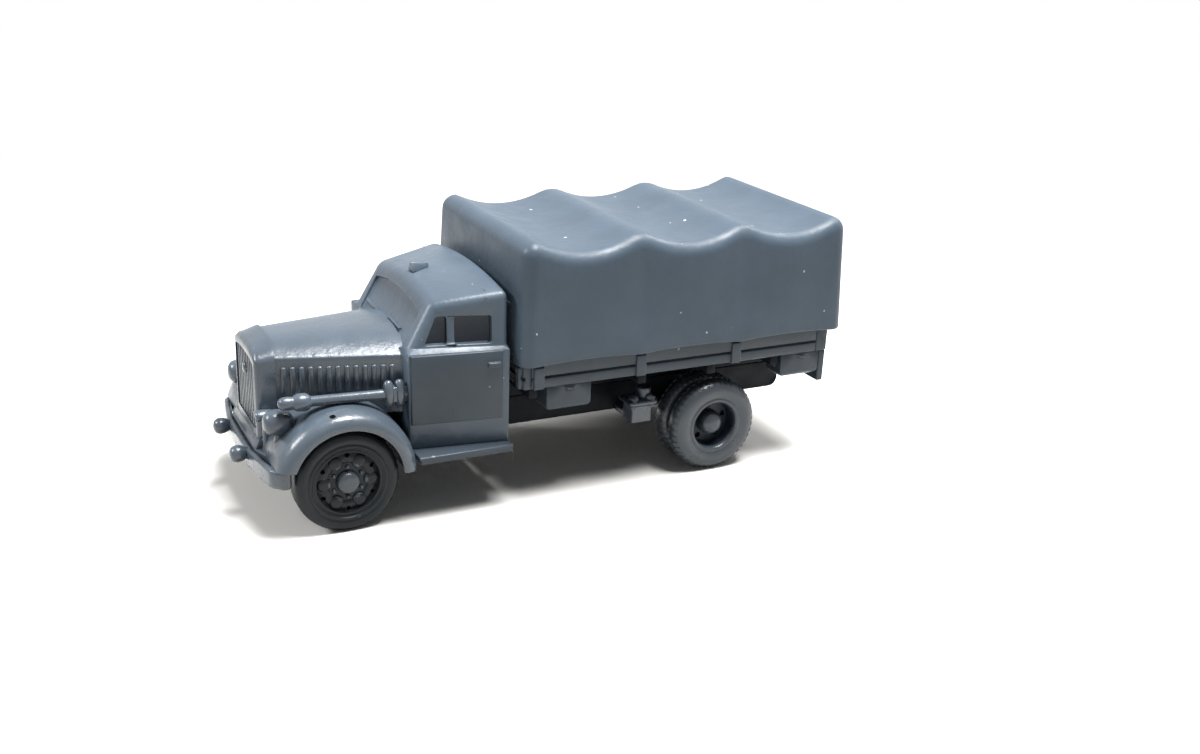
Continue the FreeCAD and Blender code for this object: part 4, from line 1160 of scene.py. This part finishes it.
@dataclass
class Radiator:
    """Squared shell with a low crown, its face set back behind a rim, with upright bars and a plain boss."""

    rear_x: float = 24.875
    front_x: float = 26.6
    half: float = 4.0
    foot_z: float = 7.2
    edge_z: float = 14.3
    crown_rear: float = 1.35
    crown_front: float = 0.5
    squareness: float = 3.0
    rows: int = 7
    corner: float = 0.5
    face_half: float = 3.35
    face_foot_z: float = 7.85
    face_edge_z: float = 13.65
    face_crown: float = 0.35
    face_rows: int = 5
    face_corner: float = 0.3
    recess: float = 0.2
    bar_count: int = 9
    bar_width: float = 0.3
    bar_raise: float = 0.13
    bar_root: float = 0.1
    bar_edge: float = 0.09
    bar_overlap: float = 0.04
    boss_centre: Triple = (26.35, 0.0, 12.4)
    boss: Profile = ((0, 0), (0.5, 0), (0.5, 0.22), (0.4, 0.36), (0.2, 0.42), (0, 0.43))

    def crowned(self, block: Piece, half: float, rows: int, edge_z: float, crown: float) -> None:
        """Raises a block's top into a crown that stays full out to its shoulders.

        Args:
            block: the block to shape.
            half: half its width in millimetres.
            rows: strips on each side of the middle.
            edge_z: height of the shoulders.
            crown: height of the crown above them.
        """
        places = [half * index / rows for index in range(1 - rows, rows)]
        slice_along(block, Axis.Y, places)
        with editing(block):
            for row in places:
                nudge(lambda place: same(place.y, row) and past(place.z, edge_z),
                      mm(0, 0, crown * (1 - abs(row / half) ** self.squareness)))

    def on_outline(self, first: Vector, second: Vector) -> bool:
        """Whether an edge is a shoulder or runs round the front.

        Args:
            first: one end of the edge.
            second: its other end.

        Returns:
            True for the edges to round.
        """
        above = past(min(first.z, second.z), self.edge_z)
        at_side = past(min(abs(first.y), abs(second.y)), self.half)
        ahead = past(min(first.x, second.x), self.front_x)
        shoulder = at_side and above and abs(first.x - second.x) > MM
        return shoulder or (ahead and (above or (at_side and first.y * second.y > 0)))

    def shell(self) -> Piece:
        """Shapes the shell and cuts its face back.

        Returns:
            The shell.
        """
        shell = new_block("radiator_shell_moulded", mm(self.rear_x, -self.half, self.foot_z),
                          mm(self.front_x, self.half, self.edge_z))
        self.crowned(shell, self.half, self.rows, self.edge_z, self.crown_rear)
        with editing(shell):
            stretch(lambda place: past(place.x, self.front_x) and past(place.z, self.edge_z),
                    Vector((1, 1, self.crown_front / self.crown_rear)), mm(self.front_x, 0, self.edge_z))
        round_edges(shell, self.on_outline, self.corner)
        cutter = new_block("face_cut", mm(self.front_x - self.recess, -self.face_half, self.face_foot_z),
                           mm(self.front_x + 1, self.face_half, self.face_edge_z))
        self.crowned(cutter, self.face_half, self.face_rows, self.face_edge_z, self.face_crown)
        round_edges(cutter, lambda a, b: abs(a.x - b.x) > MM
                    and past(min(abs(a.y), abs(b.y)), self.face_half), self.face_corner, segments=3)
        cut_out(shell, cutter)
        return shell

    def bars(self) -> list[Piece]:
        """Shapes one upright bar and copies it across the face, each as tall as the face is there.

        Returns:
            The bars.
        """
        floor_x = self.front_x - self.recess
        height = self.face_edge_z - self.face_foot_z
        first = new_block("grille_bar", mm(floor_x - self.bar_root, -self.bar_width / 2, 0),
                          mm(floor_x + self.bar_raise, self.bar_width / 2, height))
        bevel(first, self.bar_edge, segments=2, angle=60)
        bars = []
        for index in range(self.bar_count):
            y = self.face_half * (2 * (index + 1) / (self.bar_count + 1) - 1)
            rise = self.face_crown * (1 - abs(y / self.face_half) ** self.squareness) + 2 * self.bar_overlap
            place = Matrix.Translation(mm(0, y, self.face_foot_z - self.bar_overlap))
            taller = Matrix.Diagonal((1, 1, (height + rise) / height, 1))
            bars.append(copied(first, f"grille_bar_{index}", place @ taller))
        bpy.data.objects.remove(first, do_unlink=True)
        return bars

    def build(self, finishes: Finishes) -> None:
        """Builds the shell and its face.

        Args:
            finishes: gives each piece its material.
        """
        shell = self.shell()
        smooth(shell, angle=42)
        finishes.dress(shell, GLOSSY_PLASTIC, replaces=("radiator_shell",))
        boss = lathe("grille_boss", self.boss, mm(*self.boss_centre), Axis.X, steps=24)
        grille = joined(self.bars() + [boss])
        smooth(grille, angle=42)
        finishes.dress(grille, GLOSSY_PLASTIC, replaces=("grille",))


@dataclass
class FrontApron:
    """Apron that slopes from the radiator shell's foot to the bumper and fills the corners beside it."""

    rear_x: float = 24.875
    foot_x: float = 27.02
    head_x: float = 26.62
    half: float = 4.4
    foot_z: float = 6.3
    head_z: float = 7.22
    wing_half: float = 7.4
    wing_drop: float = 0.95
    wing_low_z: float = 5.7
    wing_high_z: float = 6.48
    edge: float = 0.1

    def wings(self) -> Piece:
        """Shapes the low part that reaches out behind the bumper, swept back like it.

        Returns:
            The wings as one piece.
        """
        wings = new_block("apron_wings", mm(self.rear_x, -self.wing_half, self.wing_low_z),
                          mm(self.foot_x, self.wing_half, self.wing_high_z))
        slice_along(wings, Axis.Y, (-self.half, self.half))
        with editing(wings):
            nudge(lambda place: past(place.x, self.foot_x) and past(abs(place.y), self.wing_half),
                  mm(-self.wing_drop, 0, 0))
        return wings

    def build(self, finishes: Finishes) -> None:
        """Shapes the sloping block and its wings.

        Args:
            finishes: gives each piece its material.
        """
        apron = new_block("front_apron_moulded", mm(self.rear_x, -self.half, self.foot_z),
                          mm(self.foot_x, self.half, self.head_z))
        with editing(apron):
            nudge(lambda place: past(place.x, self.foot_x) and past(place.z, self.head_z),
                  mm(self.head_x - self.foot_x, 0, 0))
        apron = joined([apron, self.wings()])
        bevel(apron, self.edge, segments=3)
        smooth(apron, angle=42)
        finishes.dress(apron, GLOSSY_PLASTIC, replaces=("front_apron",))


@dataclass
class Cab:
    """Closed cab: leaning screen, crowned roof, rounded pillars, recessed panes painted dark as shade and two
    wipers.
    """

    rear_x: float = 5.775
    front_x: float = 14.575
    fronts: Sequence[Triple] = ((14.575, 8.35, 6.05), (14.575, 8.35, 14.6), (14.33, 7.45, 14.95),
                                (12.125, 7.25, 18.75))
    rears: Sequence[tuple[float, float]] = ((9.55, 6.05), (9.55, 14.6), (9.2, 14.95), (9.0, 19.7))
    crown: float = 0.78
    rows: int = 7
    belt_z: float = 14.95
    belt_half: float = 7.45
    belt_spread: float = 1.75
    side_lean: float = 0.05
    eaves_z: float = 18.7
    outer_y: float = 6.9
    start_z: float = 40.0
    wall: float = 1.0
    roof_edge: float = 0.56
    edge: float = 0.1
    frame_depth: float = 0.3
    pane_depth: float = 0.62
    sill_z: float = 15.2
    head_z: float = 17.6
    opening: Triple = (7.225, 12.875, 11.825)
    panes: Sequence[Triple] = ((7.19, 10.275, 10.275), (10.975, 12.91, 11.86))
    pane_overreach: float = 0.03
    pane_start: float = 7.0
    pane_slope: float = 0.44
    pane_margin: float = 0.1
    pane_depths: tuple[float, float] = (0.35, 0.9)
    pane_facing: float = -0.3
    cutter_span: tuple[float, float] = (5.0, 12.0)
    corner: float = 0.22
    screen_half: float = 6.0
    screen_low: float = -0.35
    screen_high: float = 3.15
    screen_arch: float = 0.65
    screen_depth: float = 0.22
    screen_reach: float = 1.5
    screen_rows: int = 6
    screen_corner: float = 0.5
    wipers: Sequence[Triple] = ((0.92, 2.1, 3.4), (0.78, -3.9, 3.4))
    wiper_size: float = 0.22
    wiper_root: float = 0.1
    wiper_edge: float = 0.07
    wiper_sag: float = 0.16
    tunnel_half: float = 4.3
    tunnel_span: tuple[float, float] = (5.0, 8.0)

    def side_y(self, x: float, z: float) -> float:
        """The side's distance from the middle plane above the belt."""
        share = (self.front_x - x) / (self.front_x - self.rear_x)
        return self.belt_half + share * self.belt_spread - (z - self.belt_z) * self.side_lean

    @property
    def screen_turn(self) -> Matrix:
        """Turn and place of the screen, with its height along its own z."""
        foot, head = self.fronts[2], self.fronts[3]
        lean = math.atan2(foot[0] - head[0], head[2] - foot[2])
        return Matrix.Translation(mm(foot[0], 0, foot[2])) @ Matrix.Rotation(-lean, 4, "Y")

    def body(self) -> Piece:
        """Shapes the closed outside from a tall block, whose levels move down to their places.

        Returns:
            The body with its wall, open below.
        """
        widest = self.rears[0][0]
        levels = [self.start_z + step for step in range(len(self.fronts))]
        body = new_block("cab_body_moulded", mm(self.rear_x, -widest, levels[0]),
                         mm(self.front_x, widest, levels[-1]))
        slice_along(body, Axis.Z, levels[1:-1])
        shares = [index / self.rows for index in range(1 - self.rows, self.rows)]
        slice_along(body, Axis.Y, [widest * share for share in shares])
        with editing(body):
            for share in shares:
                nudge(lambda place: past(place.z, levels[-1]) and same(place.y, widest * share),
                      mm(0, 0, (1 - share ** 2) * self.crown))
            for level, front, rear in reversed(list(zip(levels, self.fronts, self.rears))):
                for start_x, (x, half, z) in ((self.front_x, front), (self.rear_x, (self.rear_x, *rear))):
                    def at_end(place: Vector) -> bool:
                        """Whether a vertex lies on this level of this end."""
                        return past(place.z, level) and same(place.x, start_x)
                    stretch(at_end, Vector((1, half / widest, 1)), mm(start_x, 0, level))
                    nudge(at_end, mm(x - start_x, 0, z - level))
            open_below()
            outward()
        round_edges(body, self.on_roof_edge, self.roof_edge)
        thicken(body, self.wall)
        return body

    def on_roof_edge(self, first: Vector, second: Vector) -> bool:
        """Whether an edge runs round the roof, down a pillar or down a rear corner.

        Args:
            first: one end of the edge.
            second: its other end.

        Returns:
            True for the edges to round.
        """
        outer = past(min(abs(first.y), abs(second.y)), self.outer_y)
        if past(min(first.z, second.z), self.eaves_z):
            return outer or abs(first.x - second.x) < MM / 2
        return outer and abs(first.z - second.z) > 3 * MM and past(min(first.z, second.z), self.sill_z - 1)

    def side_cutter(self, rear: float, foot: float, head: float, depth: float,
                    overreach: float = 0.0) -> Piece:
        """Shapes a window's form, its inner face following the cab's side.

        Args:
            rear: x of the rear edge in millimetres.
            foot: x of the front edge at the sill.
            head: x of the front edge at the top.
            depth: depth below the cab's side.
            overreach: how far the form goes past the sill and the head.

        Returns:
            The cutter with rounded corners.
        """
        inner, outer = self.cutter_span
        low_z, high_z = self.sill_z - overreach, self.head_z + overreach
        cutter = new_block("window_cut", mm(rear, inner, low_z), mm(foot, outer, high_z))
        with editing(cutter):
            for x, z in ((rear, low_z), (rear, high_z), (foot, low_z), (foot, high_z)):
                end_x = head if x == foot and z == high_z else x

                def at_corner(place: Vector) -> bool:
                    """Whether a vertex lies on this corner."""
                    return same(place.x, x) and same(place.z, z)
                nudge(lambda place: at_corner(place) and place.y < (inner + 1) * MM,
                      mm(0, self.side_y(end_x, z) - depth - inner, 0))
                nudge(at_corner, mm(end_x - x, 0, 0))
        round_edges(cutter, lambda a, b: abs(a.y - b.y) > MM, self.corner, segments=3)
        return cutter

    def screen_cutter(self) -> Piece:
        """Shapes the screen's recess, arched at the top.

        Returns:
            The cutter in its leaning place.
        """
        half = self.screen_half
        flat = new_block("screen_flat", mm(-self.screen_depth, -half, self.screen_low),
                         mm(self.screen_reach, half, self.screen_high))
        rows = closing_rows(half, self.screen_rows)
        slice_along(flat, Axis.Y, rows)
        with editing(flat):
            for row in rows:
                nudge(lambda place: same(place.y, row) and past(place.z, self.screen_high),
                      mm(0, 0, self.screen_arch * (1 - (row / half) ** 2)))
        round_edges(flat, lambda a, b: abs(a.x - b.x) > MM and past(min(abs(a.y), abs(b.y)), half),
                    self.screen_corner)
        cutter = copied(flat, "screen_cut", self.screen_turn)
        bpy.data.objects.remove(flat, do_unlink=True)
        return cutter

    def wiper(self, name: str, up: float, across: float, length: float) -> Piece:
        """Shapes one thin wiper lying on the screen.

        Args:
            name: the wiper's name.
            up: its height above the screen's foot in millimetres.
            across: its middle's distance from the truck's middle.
            length: its length.

        Returns:
            The wiper in its leaning place.
        """
        floor, size = -self.screen_depth, self.wiper_size
        bar = new_block(name, mm(floor - self.wiper_root, across - length / 2, up),
                        mm(floor + size, across + length / 2, up + size))
        with editing(bar):
            bpy.ops.mesh.select_all(action="SELECT")
            bpy.ops.mesh.bevel(offset=self.wiper_edge * MM, segments=2, affect="EDGES")
            nudge(lambda place: place.y > across * MM, mm(0, 0, -self.wiper_sag))
        settled = copied(bar, f"{name}_set", self.screen_turn)
        bpy.data.objects.remove(bar, do_unlink=True)
        return settled

    def on_pane(self, centre: Vector, normal: Vector) -> bool:
        """Whether a face is a deep pane of a side window.

        Args:
            centre: the face's centre.
            normal: its normal.

        Returns:
            True for the faces that wear the dark finish, a painted shade.
        """
        x, y, z = centre / MM
        front = self.panes[1][1] - (z - self.sill_z) * self.pane_slope + self.pane_margin
        shallow, deep = self.pane_depths
        return (self.sill_z < z < self.head_z and self.pane_start < x < front
                and shallow < self.side_y(x, z) - abs(y) < deep and normal.y * y > self.pane_facing * abs(y))

    def build(self, finishes: Finishes) -> None:
        """Builds the body, cuts its windows, softens its edges and adds the wipers.

        Args:
            finishes: gives each piece its material.
        """
        cab = self.body()
        apply_modifier(cab, "TRIANGULATE", min_vertices=4)
        cutters = [self.side_cutter(*self.opening, self.frame_depth)]
        cutters += [self.side_cutter(*pane, self.pane_depth, self.pane_overreach) for pane in self.panes]
        for cutter in cutters:
            cut_out(cab, mirrored(cutter, "window_cut_right"))
            cut_out(cab, cutter)
        cut_out(cab, self.screen_cutter())
        foot, head = self.tunnel_span
        cut_out(cab, new_block("tunnel_cut", mm(self.rear_x - 1, -self.tunnel_half, foot),
                               mm(self.front_x + 1, self.tunnel_half, head)))
        bevel(cab, self.edge, angle=38)
        wipers = [self.wiper(f"wiper_{index}", *values) for index, values in enumerate(self.wipers)]
        cab = joined([cab] + wipers)
        smooth(cab, angle=42)
        finishes.dress(cab, LIT_ROOF_PLASTIC, replaces=("cab_body",))
        finishes.dress_faces(cab, SHADOW_PLASTIC, self.on_pane)


@dataclass
class RoofMarker:
    """Tent-shaped marker on the roof, tapering to the rear."""

    low: Triple = (9.8, -0.66, 19.7)
    high: Triple = (11.5, 0.66, 20.5)
    ridge_share: float = 0.12
    tail_share: float = 0.25
    tail_drop: float = 0.3
    edge: float = 0.06

    def build(self, finishes: Finishes) -> None:
        """Shapes the marker from a block.

        Args:
            finishes: gives each piece its material.
        """
        low, high = mm(*self.low), mm(*self.high)
        marker = new_block("roof_marker_moulded", low, high)
        middle = (low + high) / 2
        with editing(marker):
            stretch(lambda place: place.z > middle.z, Vector((1, self.ridge_share, 1)), middle)
            stretch(lambda place: place.x < middle.x, Vector((1, self.tail_share, 1)), middle)
            nudge(lambda place: place.x < middle.x and place.z > middle.z, mm(0, 0, -self.tail_drop))
        bevel(marker, self.edge)
        smooth(marker, angle=45)
        finishes.dress(marker, LIT_ROOF_PLASTIC, replaces=("roof_marker",))


@dataclass
class Headlamps:
    """Bullet-shaped headlamps on short stems."""

    centre: Triple = (25.475, 6.7, 9.6)
    stem: Profile = ((0, 7.9), (0.455, 7.9), (0.35, 8.3), (0.35, 8.8), (0, 8.8))
    profile: Profile = ((0, -1.3), (0.4, -1.25), (0.74, -1.06), (0.97, -0.72), (1.09, -0.3), (1.14, 0.12),
                        (1.12, 0.48), (1.03, 0.8), (0.86, 1.04), (0.6, 1.2), (0.3, 1.28), (0, 1.3))

    def build(self, finishes: Finishes) -> None:
        """Turns one lamp and its stem and copies them to the other side.

        Args:
            finishes: gives each piece its material.
        """
        x, y, z = self.centre
        lamp = lathe("headlamp_left_moulded", self.profile, mm(x, y, z), Axis.X, steps=40)
        lamp = joined([lamp, lathe("stem", self.stem, mm(x, y, 0), Axis.Z, steps=20)])
        smooth(lamp)
        other = mirrored(lamp, "headlamp_right_moulded")
        finishes.dress(lamp, GLOSSY_PLASTIC, replaces=("headlamp_left",))
        finishes.dress(other, GLOSSY_PLASTIC, replaces=("headlamp_right",))


@dataclass
class BlackoutLamp:
    """Small flattened lamp on a thin stem beside the left headlamp."""

    centre: Triple = (26.125, 4.75, 9.62)
    flatten: float = 0.74
    stem: Profile = ((0, 6.45), (0.36, 6.45), (0.24, 6.95), (0.24, 9.32), (0, 9.32))
    profile: Profile = ((0, -0.85), (0.3, -0.84), (0.48, -0.72), (0.58, -0.5), (0.63, -0.1), (0.65, 0.3),
                        (0.65, 0.62), (0.6, 0.76), (0.48, 0.83), (0.42, 0.8), (0.36, 0.76), (0.2, 0.83),
                        (0, 0.85))

    def build(self, finishes: Finishes) -> None:
        """Turns the lamp, flattens it and sets it on its stem.

        Args:
            finishes: gives each piece its material.
        """
        x, y, z = self.centre
        lamp = lathe("blackout_lamp_moulded", self.profile, mm(x, y, z), Axis.X, steps=32)
        with editing(lamp):
            stretch(lambda _: True, Vector((1, 1, self.flatten)), mm(x, y, z))
        lamp = joined([lamp, lathe("stem", self.stem, mm(x, y, 0), Axis.Z, steps=16)])
        smooth(lamp)
        finishes.dress(lamp, GLOSSY_PLASTIC, replaces=("blackout_lamp",))


@dataclass
class BumperKnobs:
    """Round knobs on the bumper's face."""

    centre: Triple = (27.625, 3.35, 5.85)
    profile: Profile = ((0, -0.2), (0.5, -0.2), (0.52, 0.0), (0.62, 0.16), (0.71, 0.38), (0.75, 0.66),
                        (0.72, 0.92), (0.6, 1.14), (0.42, 1.27), (0.2, 1.34), (0, 1.35))

    def build(self, finishes: Finishes) -> None:
        """Turns one knob and copies it to the other side.

        Args:
            finishes: gives each piece its material.
        """
        knob = lathe("bumper_knob_left_moulded", self.profile, mm(*self.centre), Axis.X, steps=32)
        smooth(knob)
        other = mirrored(knob, "bumper_knob_right_moulded")
        finishes.dress(knob, GLOSSY_PLASTIC, replaces=("bumper_knob_left",))
        finishes.dress(other, GLOSSY_PLASTIC, replaces=("bumper_knob_right",))


@dataclass
class Jack:
    """Jack moulded beside the bonnet: thick rod, bulb head, rounded tip and two oval collars."""

    foot: Triple = (14.575, 7.6, 11.15)
    rise: float = 0.4
    length: float = 11.1
    collar_half: float = 0.575
    collar_height: float = 2.6
    collar_starts: Sequence[float] = (0.2, 1.2)
    tongue: Triple = (1.6, 0.42, 0.7)
    tongue_edge: float = 0.12
    profile: Profile = ((0, 0.0), (0.45, 0.0), (0.45, 8.25), (0.51, 8.4), (0.66, 8.52), (0.76, 8.75),
                        (0.78, 9.1), (0.74, 9.45), (0.64, 9.68), (0.55, 9.78), (0.53, 9.86), (0.56, 9.98),
                        (0.58, 10.3), (0.56, 10.65), (0.47, 10.88), (0.3, 11.04), (0, 11.1))
    collar: Profile = ((0, 0), (0.36, 0), (0.48, 0.05), (0.55, 0.18), (0.575, 0.4), (0.55, 0.62),
                       (0.48, 0.75), (0.36, 0.8), (0, 0.8))

    def build(self, finishes: Finishes) -> None:
        """Turns the rod with its head, leans it upward and adds the collars and the tongue.

        Args:
            finishes: gives each piece its material.
        """
        foot = mm(*self.foot)
        rod = lathe("rod", self.profile, foot, Axis.X, steps=28)
        lean = math.atan2(self.rise, self.length)
        turn = Matrix.Translation(foot) @ Matrix.Rotation(-lean, 4, "Y") @ Matrix.Translation(-foot)
        pieces = [copied(rod, "jack_moulded", turn)]
        bpy.data.objects.remove(rod, do_unlink=True)
        for start in self.collar_starts:
            ring = lathe("collar", self.collar, foot + mm(start, 0, 0), Axis.X, steps=28)
            with editing(ring):
                stretch(lambda _: True, Vector((1, 1, self.collar_height / 2 / self.collar_half)), foot)
            pieces.append(ring)
        tongue = new_block("tongue", foot - mm(0, *self.tongue[1:]), foot + mm(*self.tongue))
        bevel(tongue, self.tongue_edge)
        jack = joined(pieces + [tongue])
        smooth(jack)
        finishes.dress(jack, GLOSSY_PLASTIC, replaces=("jack",))


@dataclass
class EquipmentCarrier:
    """Carrier below the bed with two rounded lumps on its flange."""

    lumps: Sequence[tuple[float, float]] = ((-8.95, 8.55), (-7.3, 8.55))
    top_z: float = 7.75
    edge: float = 0.16
    profile: Profile = ((0, -0.2), (0.5, -0.2), (0.5, 0.1), (0.42, 0.32), (0.25, 0.46), (0, 0.5))

    def build(self, finishes: Finishes) -> None:
        """Softens the carrier and adds the lumps.

        Args:
            finishes: gives each piece its material.
        """
        carrier = merged_copy("equipment_carrier", "equipment_carrier_moulded")
        bevel(carrier, self.edge, segments=3)
        domes = [lathe(f"lump_{index}", self.profile, mm(x, y, self.top_z), Axis.Z, steps=20)
                 for index, (x, y) in enumerate(self.lumps)]
        carrier = joined([carrier] + domes)
        smooth(carrier, angle=45)
        finishes.dress(carrier, GLOSSY_PLASTIC, replaces=("equipment_carrier",))


# Stage


@dataclass(frozen=True)
class SoftLamp:
    """Square soft lamp that faces the truck, its place and size in millimetres."""

    name: str
    place: Triple
    size: float
    power: float
    aim: Triple = (0.0, 0.0, 8.0)

    def build(self) -> None:
        """Adds the lamp."""
        data = bpy.data.lights.new(self.name, "AREA")
        data.size = self.size * MM
        data.energy = self.power
        lamp = bpy.data.objects.new(self.name, data)
        bpy.context.scene.collection.objects.link(lamp)
        lamp.location = mm(*self.place)
        lamp.rotation_mode = "QUATERNION"
        lamp.rotation_quaternion = (mm(*self.aim) - mm(*self.place)).to_track_quat("-Z", "Y")


@dataclass
class Stage:
    """Pale floor, soft lamps, pale surroundings and a close camera at the left, a little ahead."""

    azimuth: float = 152.53
    elevation: float = 20.06
    roll: float = 2.44
    distance: float = 125.11
    target: Triple = (-5.112, 5.535, 9.605)
    lens: float = 39.85
    sensor: float = 36.0
    shift: tuple[float, float] = (0.0009, -0.0027)
    clip: tuple[float, float] = (1.0, 9000.0)
    floor_half: float = 3000.0
    floor_shaded: Span = (0.34, 0.33, 0.31, 1.0)
    floor_seen: Span = (0.84, 0.83, 0.80, 1.0)
    floor_roughness: float = 0.85
    fade: tuple[float, float] = (45.0, 170.0)
    surround: float = 0.12
    lamps: Sequence[SoftLamp] = (
        SoftLamp("high_soft_lamp", (-40, 32, 250), 110, 1.75),
        SoftLamp("front_soft_lamp", (230, -70, 170), 80, 0.55),
        SoftLamp("rear_soft_lamp", (-200, -60, 200), 90, 0.35))

    def camera(self) -> None:
        """Adds the camera."""
        turn, tilt = math.radians(self.azimuth), math.radians(self.elevation)
        back = Vector((math.sin(turn) * math.cos(tilt), -math.cos(turn) * math.cos(tilt), math.sin(tilt)))
        data = bpy.data.cameras.new("view_camera")
        data.lens = self.lens
        data.sensor_width = self.sensor
        data.shift_x, data.shift_y = self.shift
        data.clip_start, data.clip_end = (end * MM for end in self.clip)
        camera = bpy.data.objects.new("view_camera", data)
        bpy.context.scene.collection.objects.link(camera)
        camera.location = mm(*self.target) + back * self.distance * MM
        camera.rotation_mode = "QUATERNION"
        level = (-back).to_track_quat("-Z", "Y")
        camera.rotation_quaternion = level @ Quaternion((0, 0, 1), math.radians(self.roll))
        bpy.context.scene.camera = camera

    @staticmethod
    def seen_directly(tree: Tree) -> Socket:
        """Mask of the rays that show the background: camera, gloss and clear pieces.

        Args:
            tree: the material or world to add to.

        Returns:
            The mask.
        """
        path = add_node(tree, "LightPath")
        mask = path.outputs["Is Camera Ray"]
        for name in ("Is Glossy Ray", "Is Transmission Ray"):
            mask = combine(tree, "MAXIMUM", mask, path.outputs[name])
        return mask

    def floor_material(self) -> Material:
        """Pale floor that runs out into white for the camera.

        Returns:
            The material.
        """
        material = bpy.data.materials.new("pale_floor")
        material.use_nodes = True
        tree = material.node_tree
        mask = self.seen_directly(tree)
        shader = tree.nodes["Principled BSDF"]
        feed(tree, shader, {"Base Color": mix_colours(tree, mask, self.floor_shaded, self.floor_seen),
                            "Roughness": self.floor_roughness})
        place = add_node(tree, "TexCoord").outputs["Object"]
        reach = add_node(tree, "VectorMath", {0: place}, operation="LENGTH").outputs["Value"]
        near, far = (end * MM for end in self.fade)
        fade = add_node(tree, "MapRange", {"Value": reach, "From Min": near, "From Max": far})
        white = add_node(tree, "Emission").outputs["Emission"]
        mixed = add_node(tree, "MixShader", {
            0: combine(tree, "MULTIPLY", fade.outputs["Result"], mask), 1: shader.outputs["BSDF"], 2: white})
        feed(tree, tree.nodes["Material Output"], {"Surface": mixed.outputs["Shader"]})
        return material

    def floor(self) -> None:
        """Adds the pale floor."""
        bpy.ops.object.select_all(action="DESELECT")
        bpy.ops.mesh.primitive_plane_add(size=2 * self.floor_half * MM, location=(0, 0, 0))
        floor = bpy.context.active_object
        floor.name = "pale_floor"
        floor.data.materials.append(self.floor_material())

    def surroundings(self) -> None:
        """Adds pale surroundings, plain white to the camera."""
        world = bpy.data.worlds.new("pale_world")
        world.use_nodes = True
        tree = world.node_tree
        level = add_node(tree, "MapRange", {
            "Value": self.seen_directly(tree), "To Min": self.surround, "To Max": 1.0})
        feed(tree, tree.nodes["Background"], {"Color": (1, 1, 1, 1), "Strength": level.outputs["Result"]})
        bpy.context.scene.world = world

    def build(self) -> None:
        """Sets the stage."""
        bpy.context.scene.view_settings.view_transform = "Standard"
        self.camera()
        self.floor()
        for lamp in self.lamps:
            lamp.build()
        self.surroundings()


def main() -> None:
    """Builds and dresses the truck, piece by piece, and sets the stage."""
    logging.basicConfig(level=logging.INFO, format="%(name)s %(message)s")
    finishes = Finishes()
    under = ("chassis_rail_left", "chassis_rail_right", "cross_members", "front_axle", "rear_axle",
             "front_springs", "rear_springs", "gearbox", "drive_shaft", "bed_sills", "bed_bearers",
             "bed_floor")
    boxes = tuple(f"stowage_box_{end}_{side}" for end in ("front", "rear") for side in ("left", "right"))
    assemblies = (
        FrontWheels(), RearWheels(), Mudguards(), CanvasCover(), Bonnet(), Radiator(), FrontApron(), Cab(),
        RoofMarker(), Headlamps(), BlackoutLamp(), BumperKnobs(), Jack(), EquipmentCarrier(),
        # The parts under the bed wear the near-black under finish, a painted shade.
        SoftenedPieces(under, edge=0.09, segments=2, finish=UNDER_SHADE_PLASTIC),
        SoftenedPieces(boxes, edge=0.16, segments=3),
        SoftenedPieces(("side_board_left", "side_board_right", "rear_plate"), edge=0.13, segments=3),
        SoftenedPieces(("headboard", "tailboard"), edge=0.18, segments=3),
        SoftenedPieces(("door_left", "door_right"), edge=0.11, segments=2),
        SoftenedPieces(("running_board_left", "running_board_right"), edge=0.15, segments=3),
        SoftenedPieces(("bumper",), edge=0.34, segments=5, finish=GLOSSY_PLASTIC),
    )
    for assembly in assemblies:
        assembly.build(finishes)
        LOG.info("%s: %s", type(assembly).__name__, ", ".join(finishes.dressed))
        finishes.dressed.clear()
    Stage().build()


if __name__ == "__main__":
    main()
